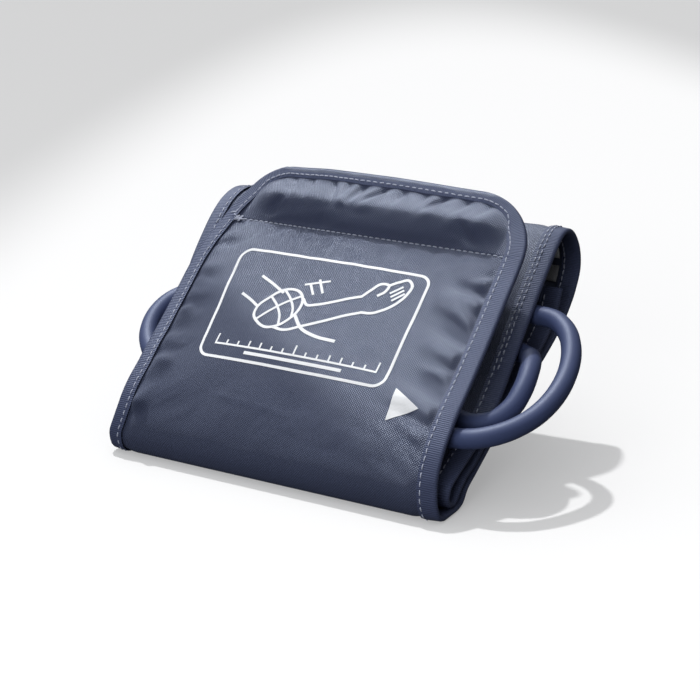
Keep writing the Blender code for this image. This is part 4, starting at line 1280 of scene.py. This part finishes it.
bsdf.inputs["Specular IOR Level"].default_value = 0.0
floor_mesh.materials.append(mat)
floor.visible_diffuse = False
floor.visible_glossy = False

world = bpy.data.worlds.new("studio")
bpy.context.scene.world = world
world.use_nodes = True
wt = world.node_tree
wtc = wt.nodes.new("ShaderNodeTexCoord")
wdot = wt.nodes.new("ShaderNodeVectorMath")
wdot.operation = 'DOT_PRODUCT'
_soft = np.array([-0.32, -0.02, 0.94])
wdot.inputs[1].default_value = tuple(_soft / np.linalg.norm(_soft))
wt.links.new(wtc.outputs["Generated"], wdot.inputs[0])
half_up = wt.nodes.new("ShaderNodeMath")
half_up.operation = 'MULTIPLY_ADD'
half_up.inputs[1].default_value = 0.5
half_up.inputs[2].default_value = 0.5
wt.links.new(wdot.outputs["Value"], half_up.inputs[0])
wr = wt.nodes.new("ShaderNodeValToRGB")
wt.links.new(half_up.outputs[0], wr.inputs[0])
els = wr.color_ramp.elements
els[0].position, els[0].color = 0.0, (0.07, 0.071, 0.075, 1.0)
els[1].position, els[1].color = 1.0, (0.80, 0.80, 0.80, 1.0)
for pos, val in ((0.5, 0.09), (0.65, 0.20), (0.80, 0.42), (0.92, 0.68)):
    e = els.new(pos)
    e.color = (val, val * 1.01, val * 1.04, 1.0)
wt.links.new(wr.outputs[0], wt.nodes["Background"].inputs["Color"])
wt.nodes["Background"].inputs["Strength"].default_value = 1.0


def area_light(name, where, target, size, power, colour=(1, 1, 1)):
    data = bpy.data.lights.new(name, 'AREA')
    data.shape = 'DISK'
    data.size = size
    data.energy = power
    data.color = colour
    obj = bpy.data.objects.new(name, data)
    bpy.context.scene.collection.objects.link(obj)
    obj.location = where
    obj.rotation_euler = (Vector(target) - Vector(where)).to_track_quat('-Z', 'Y').to_euler()
    return obj


key_dir = Vector((-0.40, 0.27, 1.0)).normalized()
sun_data = bpy.data.lights.new("key", 'SUN')
sun_data.energy = 2.2
sun_data.angle = math.radians(2.0)
sun = bpy.data.objects.new("key", sun_data)
bpy.context.scene.collection.objects.link(sun)
sun.rotation_euler = key_dir.to_track_quat('Z', 'Y').to_euler()

middle = Vector((0.0, -0.02, 0.05))
fill = area_light("front_fill", middle + Vector((0.02, -0.97, 0.22)).normalized() * 1.6, middle, 1.2, 13.5, (0.97, 0.985, 1.0))
fill.visible_glossy = False
soft = area_light("soft_box", middle + Vector((-0.45, 0.10, 0.88)).normalized() * 1.5, middle, 1.0, 20.0, (0.93, 0.97, 1.0))
soft.visible_diffuse = False
top = area_light("top_box", middle + Vector((-0.45, 0.42, 0.78)).normalized() * 1.5, middle, 0.9, 14.0, (0.93, 0.97, 1.0))
top.visible_diffuse = False

bpy.context.scene.view_settings.view_transform = 'Standard'
bpy.context.scene.view_settings.look = 'None'
